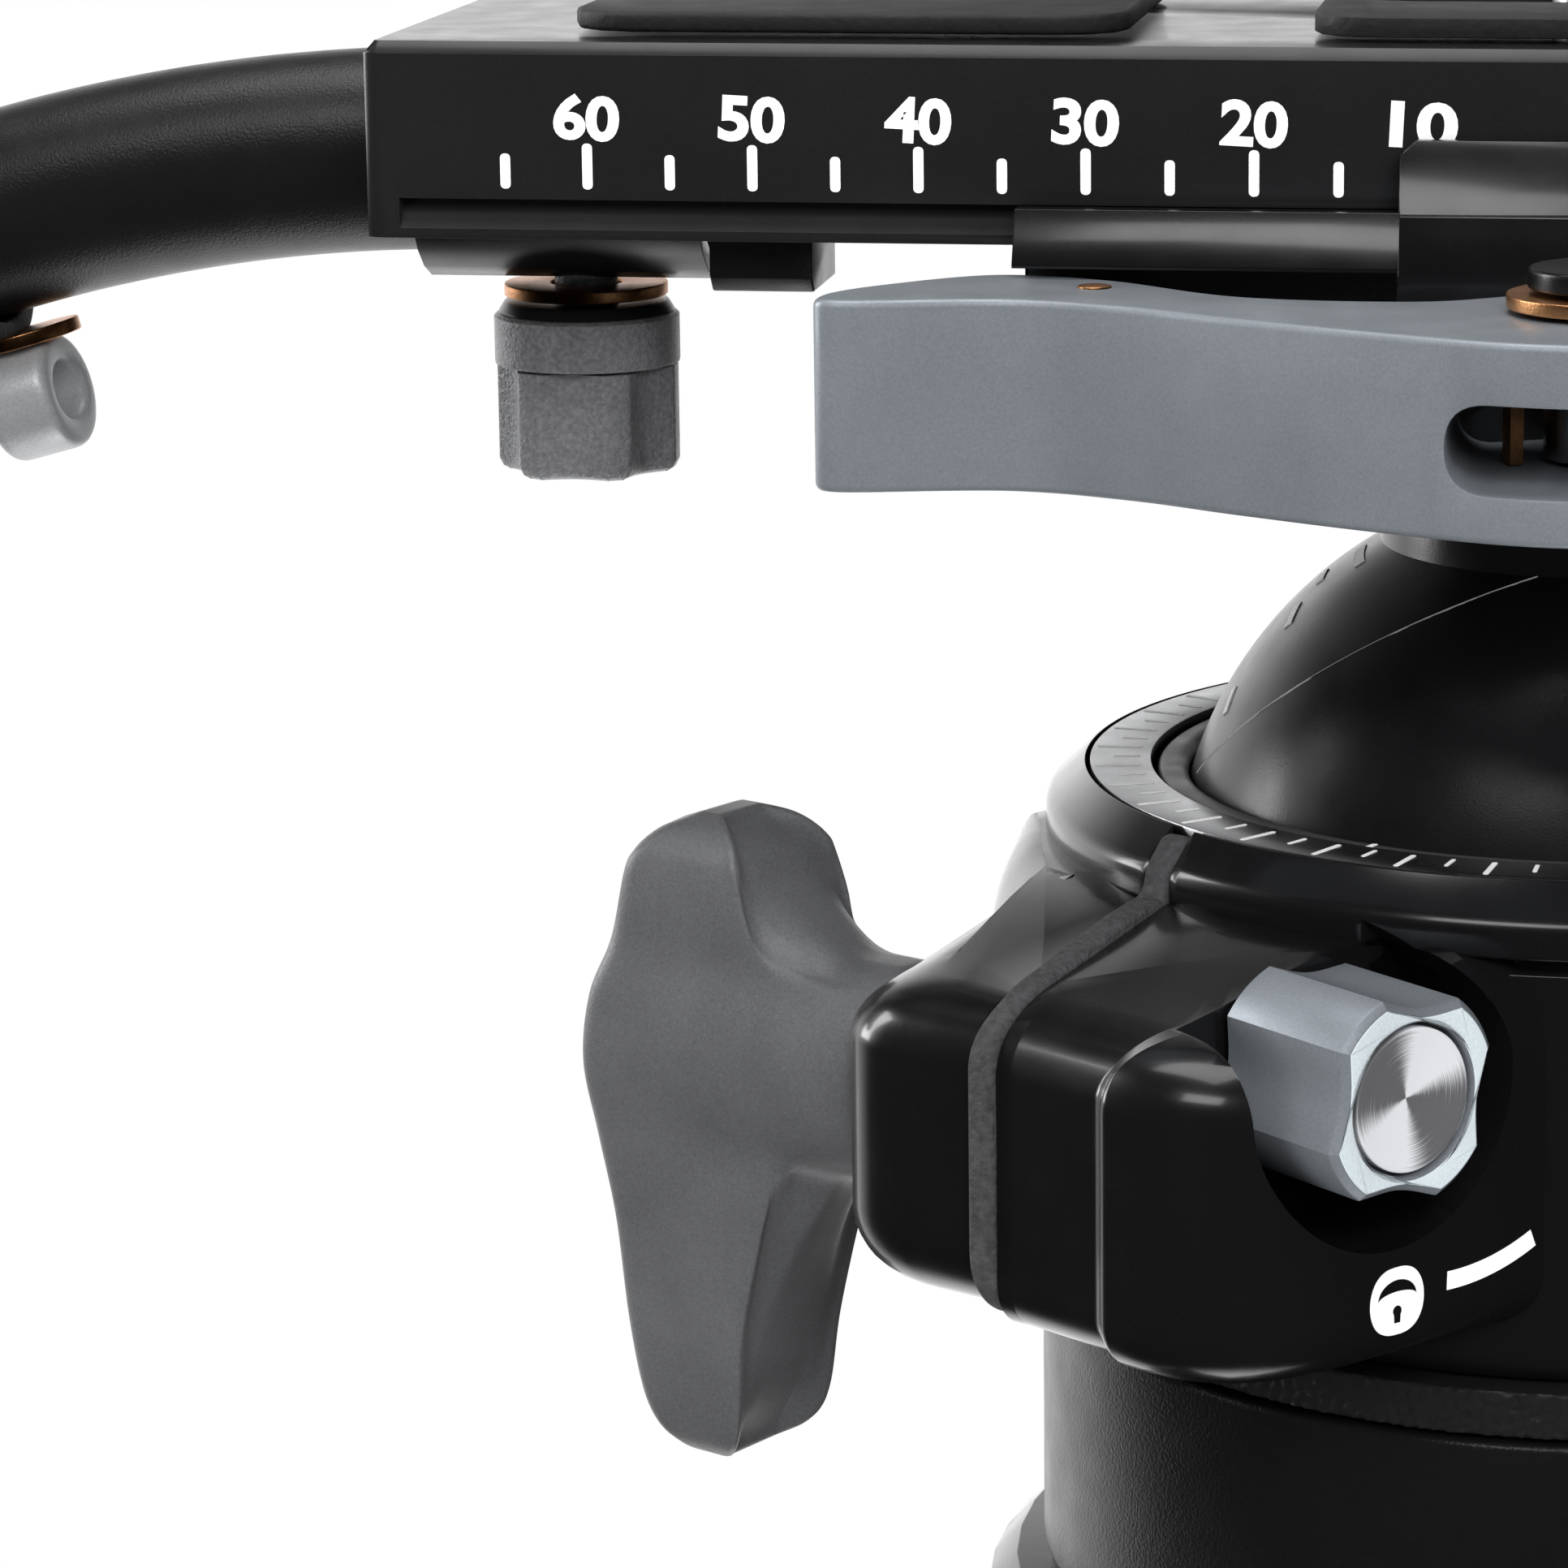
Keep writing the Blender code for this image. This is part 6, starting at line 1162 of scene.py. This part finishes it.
normal, offset, half_line = np.array([0.366, -0.478, -0.798]), -0.495, 0.0028
side = np.cross(normal, Z)
side /= np.linalg.norm(side)
turn = np.linspace(0, 2 * np.pi, 720)[:, None]
circle = offset * normal + math.sqrt(1 - offset ** 2) * (side * np.cos(turn)
                                                         + np.cross(normal, side) * np.sin(turn))
around = np.degrees(np.arctan2(circle[:, 1], circle[:, 0]))
arc_part = circle[(around < -98) & (around > -168)]
jump = np.argmax(np.linalg.norm(np.diff(arc_part, axis=0), axis=1)) + 1  # where the full turn starts
arc_part = np.roll(arc_part, -jump, 0)
edges = [(arc_part + side * half_line) * (BALL_RADIUS + 0.02) for side in (normal, -normal)]
loop = np.concatenate([edges[0], edges[1][::-1]])
line = mesh_of("ball_line", [skin([loop * 0.997, loop], BALL, capped=True)])
shown("tilt_line", line, grey_print, body=body_with("ball"))
print("tilt marks:", len(bars), "and a line of", len(arc_part), "points")

# %% [markdown]
# The padlock and its curved stroke are printed beside the star knob, low on the lug's flat
# face. That face isn't quite square to the knob's axis, so a mark is drawn as (sideways, up)
# from the axis, and its depth is read off the straight line between the face's two ends.

# %% The padlock
toward = np.array([face_place(1, 0), face_place(0, 1)])
far_end, near_end = toward @ face_far, toward @ face_near


def on_face(outline, lift):
    """Outline as (sideways, up) from the star's axis, laid on the face, lift above it."""
    depth = np.interp(outline[:, 0] + STAR_ASIDE, [near_end[1], far_end[1]], [near_end[0], far_end[0]])
    return np.column_stack([outline[:, 1], outline[:, 0], depth + lift])


def printed(name, outlines, lift, finish):
    skins = [skin([on_face(each, -0.12), on_face(each, lift)], STAR, capped=True) for each in outlines]
    shown(name, mesh_of(name, skins), finish, body=body_with("housing"))


lock, half_width, stroke_middle = np.array([-0.35, -12.3]), 2.05, (-4.9, 3.9)
shield = np.concatenate([bow(half_width, 2.05, lock), bow(half_width, 1.95, lock, 180, 360)[1:-1]])
aside = shield[:, 0] - lock[0]
shield[:, 0] = lock[0] + np.sign(aside) * np.abs(aside / half_width) ** 0.75 * half_width
opening = np.concatenate([bow(1.45, 1.10, lock + [0, 0.2]), bow(1.45, 0.42, lock + [0, 0.2])[::-1][1:-1]])
keyhole = np.concatenate([bow(0.32, 0.32, lock + [0, -0.55], -40, 220),
                          [lock + [-0.22, -1.25], lock + [0.22, -1.25]]])
stroke = np.concatenate([bow(16.35, 16.35, stroke_middle, 272.5, 247.5, 40),
                         bow(15.25, 15.25, stroke_middle, 247.5, 272.5, 40)])
printed("lock_print", (shield, stroke), 0.03, white_print)
printed("lock_openings", (opening, keyhole), 0.06, gloss_black)
print("padlock at", lock, "from the star's axis")

# %% [markdown]
# Light and camera. The picture was taken close up, over a white ground. White surroundings
# lie behind and to the left, so black parts carry a bright rim on that side, while what faces
# the camera mirrors a dark room and stays deep. How far a point or a direction lies behind
# and to the left is one number, y - 0.5 x - 0.6 z, and the ground and the surroundings fade
# by it. Only mirrored rays see that; the camera sees plain white.

# %% Ground and surroundings
BEHIND, FADE_START, FADE_END, DARK_ROOM = (-0.5, 1.0, -0.6), 0.55, 1.05, 0.002
DIFFUSE_LIGHT, GROUND_REACH = 0.30, 40.0


def fading(tree, vector, bright):
    """Dark to bright as the dot product of a vector with BEHIND goes through the fade."""
    measure = add(tree, "VectorMath", {0: vector, 1: BEHIND}, operation="DOT_PRODUCT").outputs["Value"]
    return between(tree, measure, DARK_ROOM, bright, FADE_START, FADE_END, smooth=True)


def seen_directly(tree, rays):
    return calc(tree, "MAXIMUM", rays["Is Camera Ray"], rays["Is Transmission Ray"])


world = bpy.data.worlds.new("studio")
world.use_nodes = True
bpy.context.scene.world = world
tree = world.node_tree
rays = add(tree, "LightPath").outputs
direction = add(tree, "TexCoord").outputs["Generated"]
mirrored = calc(tree, "MULTIPLY", rays["Is Glossy Ray"], fading(tree, direction, 1.6))
lit = calc(tree, "MULTIPLY", rays["Is Diffuse Ray"], DIFFUSE_LIGHT)
total = calc(tree, "ADD", calc(tree, "MAXIMUM", seen_directly(tree, rays), mirrored), lit)
feed(tree, tree.nodes["Background"], {"Strength": total, "Color": (1, 1, 1, 1)})

paper, tree, cover = new_material("white_ground")
feed(tree, cover, {"Base Color": (0.80, 0.80, 0.80, 1), "Roughness": 0.9, "Specular IOR Level": 0.0})
glow = add(tree, "Emission", {"Strength": 1.0})
coords = add(tree, "TexCoord").outputs["Object"]
distance = add(tree, "VectorMath", {0: coords}, operation="LENGTH").outputs["Value"]
far = between(tree, distance, 0.35, 1.0, 0.15, 0.75, smooth=True)
rays = add(tree, "LightPath").outputs
blend = add(tree, "MixShader", {0: calc(tree, "MULTIPLY", seen_directly(tree, rays), far),
                                1: cover.outputs[0], 2: glow.outputs[0]})
sideways = add(tree, "VectorMath", {0: coords}, operation="NORMALIZE").outputs["Vector"]
# Close under the head the ground glows for mirrored rays, up to three times white: a glow that is no lamp,
# painting a reflection into the parts that face down.
near = between(tree, distance, 3.0, 0.0, 0.05, 0.24, smooth=True)
mirror = add(tree, "Emission", {"Strength": calc(tree, "MAXIMUM", fading(tree, sideways, 1.5), near)})
both = add(tree, "MixShader", {0: rays["Is Glossy Ray"], 1: blend.outputs[0], 2: mirror.outputs[0]})
feed(tree, tree.nodes["Material Output"], {"Surface": both.outputs[0]})

ground_mesh = bpy.data.meshes.new("ground")
corners = [(x * GROUND_REACH, y * GROUND_REACH, 0) for x, y in ((-1, -1), (1, -1), (1, 1), (-1, 1))]
ground_mesh.from_pydata(corners, [], [(0, 1, 2, 3)])
ground_mesh.materials.append(paper)
linked("ground", ground_mesh)
print("ground:", 2 * GROUND_REACH, "m across")

# %% [markdown]
# Six soft boxes light the head. Three of them, in front, low down and to the right, are left
# out of mirrored rays, or they would show as pale patches on black faces. The camera stands
# where the photograph was taken from, fitted to the rail's figures; its lens is shifted
# sideways and down, so that the crop of the photograph is kept.

# %% Lamps and camera
def soft_box(name, place, width, height, power, mirrored=True):
    """An area lamp that faces the head, and that polished faces may or may not mirror."""
    lamp = bpy.data.lights.new(name, "AREA")
    lamp.shape, lamp.size, lamp.size_y, lamp.energy = "RECTANGLE", width, height, power
    thing = linked(name, lamp)
    thing.location = Vector(place)
    thing.rotation_mode = "QUATERNION"
    thing.rotation_quaternion = (Vector(head) - Vector(place)).to_track_quat("-Z", "Y")
    thing.visible_glossy = mirrored


soft_box("left_box", (-1.3, 0.25, 0.85), 0.4, 1.0, 12)
soft_box("front_box", (0.30, -1.00, 1.05), 0.5, 0.5, 13, mirrored=False)
soft_box("slope_box", (-0.30, -0.90, 1.35), 0.6, 0.3, 3)
soft_box("low_box", (-0.50, -1.00, 0.25), 0.5, 0.3, 3, mirrored=False)
soft_box("right_box", (0.85, -0.75, 1.10), 0.4, 0.4, 3, mirrored=False)
soft_box("top_box", (-0.15, 0.10, 1.75), 0.9, 0.9, 9)

PICTURE_PIXELS, FOCAL_PIXELS, SENSOR = 1932, 6562.77, 36
turn, dip, roll = 0.1106, 0.1963, -0.0026
forward = np.array([-math.sin(turn) * math.cos(dip), math.cos(turn) * math.cos(dip), -math.sin(dip)])
level_right = np.cross(forward, Z)
level_right /= np.linalg.norm(level_right)
level_up = np.cross(level_right, forward)
right = math.cos(roll) * level_right + math.sin(roll) * level_up
up = -math.sin(roll) * level_right + math.cos(roll) * level_up
eye = RAIL[0] + np.array([5.3222, -331.232, 41.3002]) * MM
camera = bpy.data.cameras.new("camera")
camera.lens, camera.sensor_width = FOCAL_PIXELS / PICTURE_PIXELS * SENSOR, SENSOR
camera.shift_x, camera.shift_y = -0.2, -0.12
camera.clip_start, camera.clip_end = 0.01, 200
holder = linked("camera", camera)
holder.matrix_world = Matrix([(*row, 0) for row in (right, up, -forward)] + [(*eye, 1)]).transposed()
bpy.context.scene.camera = holder
bpy.context.scene.view_settings.view_transform = "Standard"
print("camera at", eye.round(3), "lens", round(camera.lens, 1), "mm")
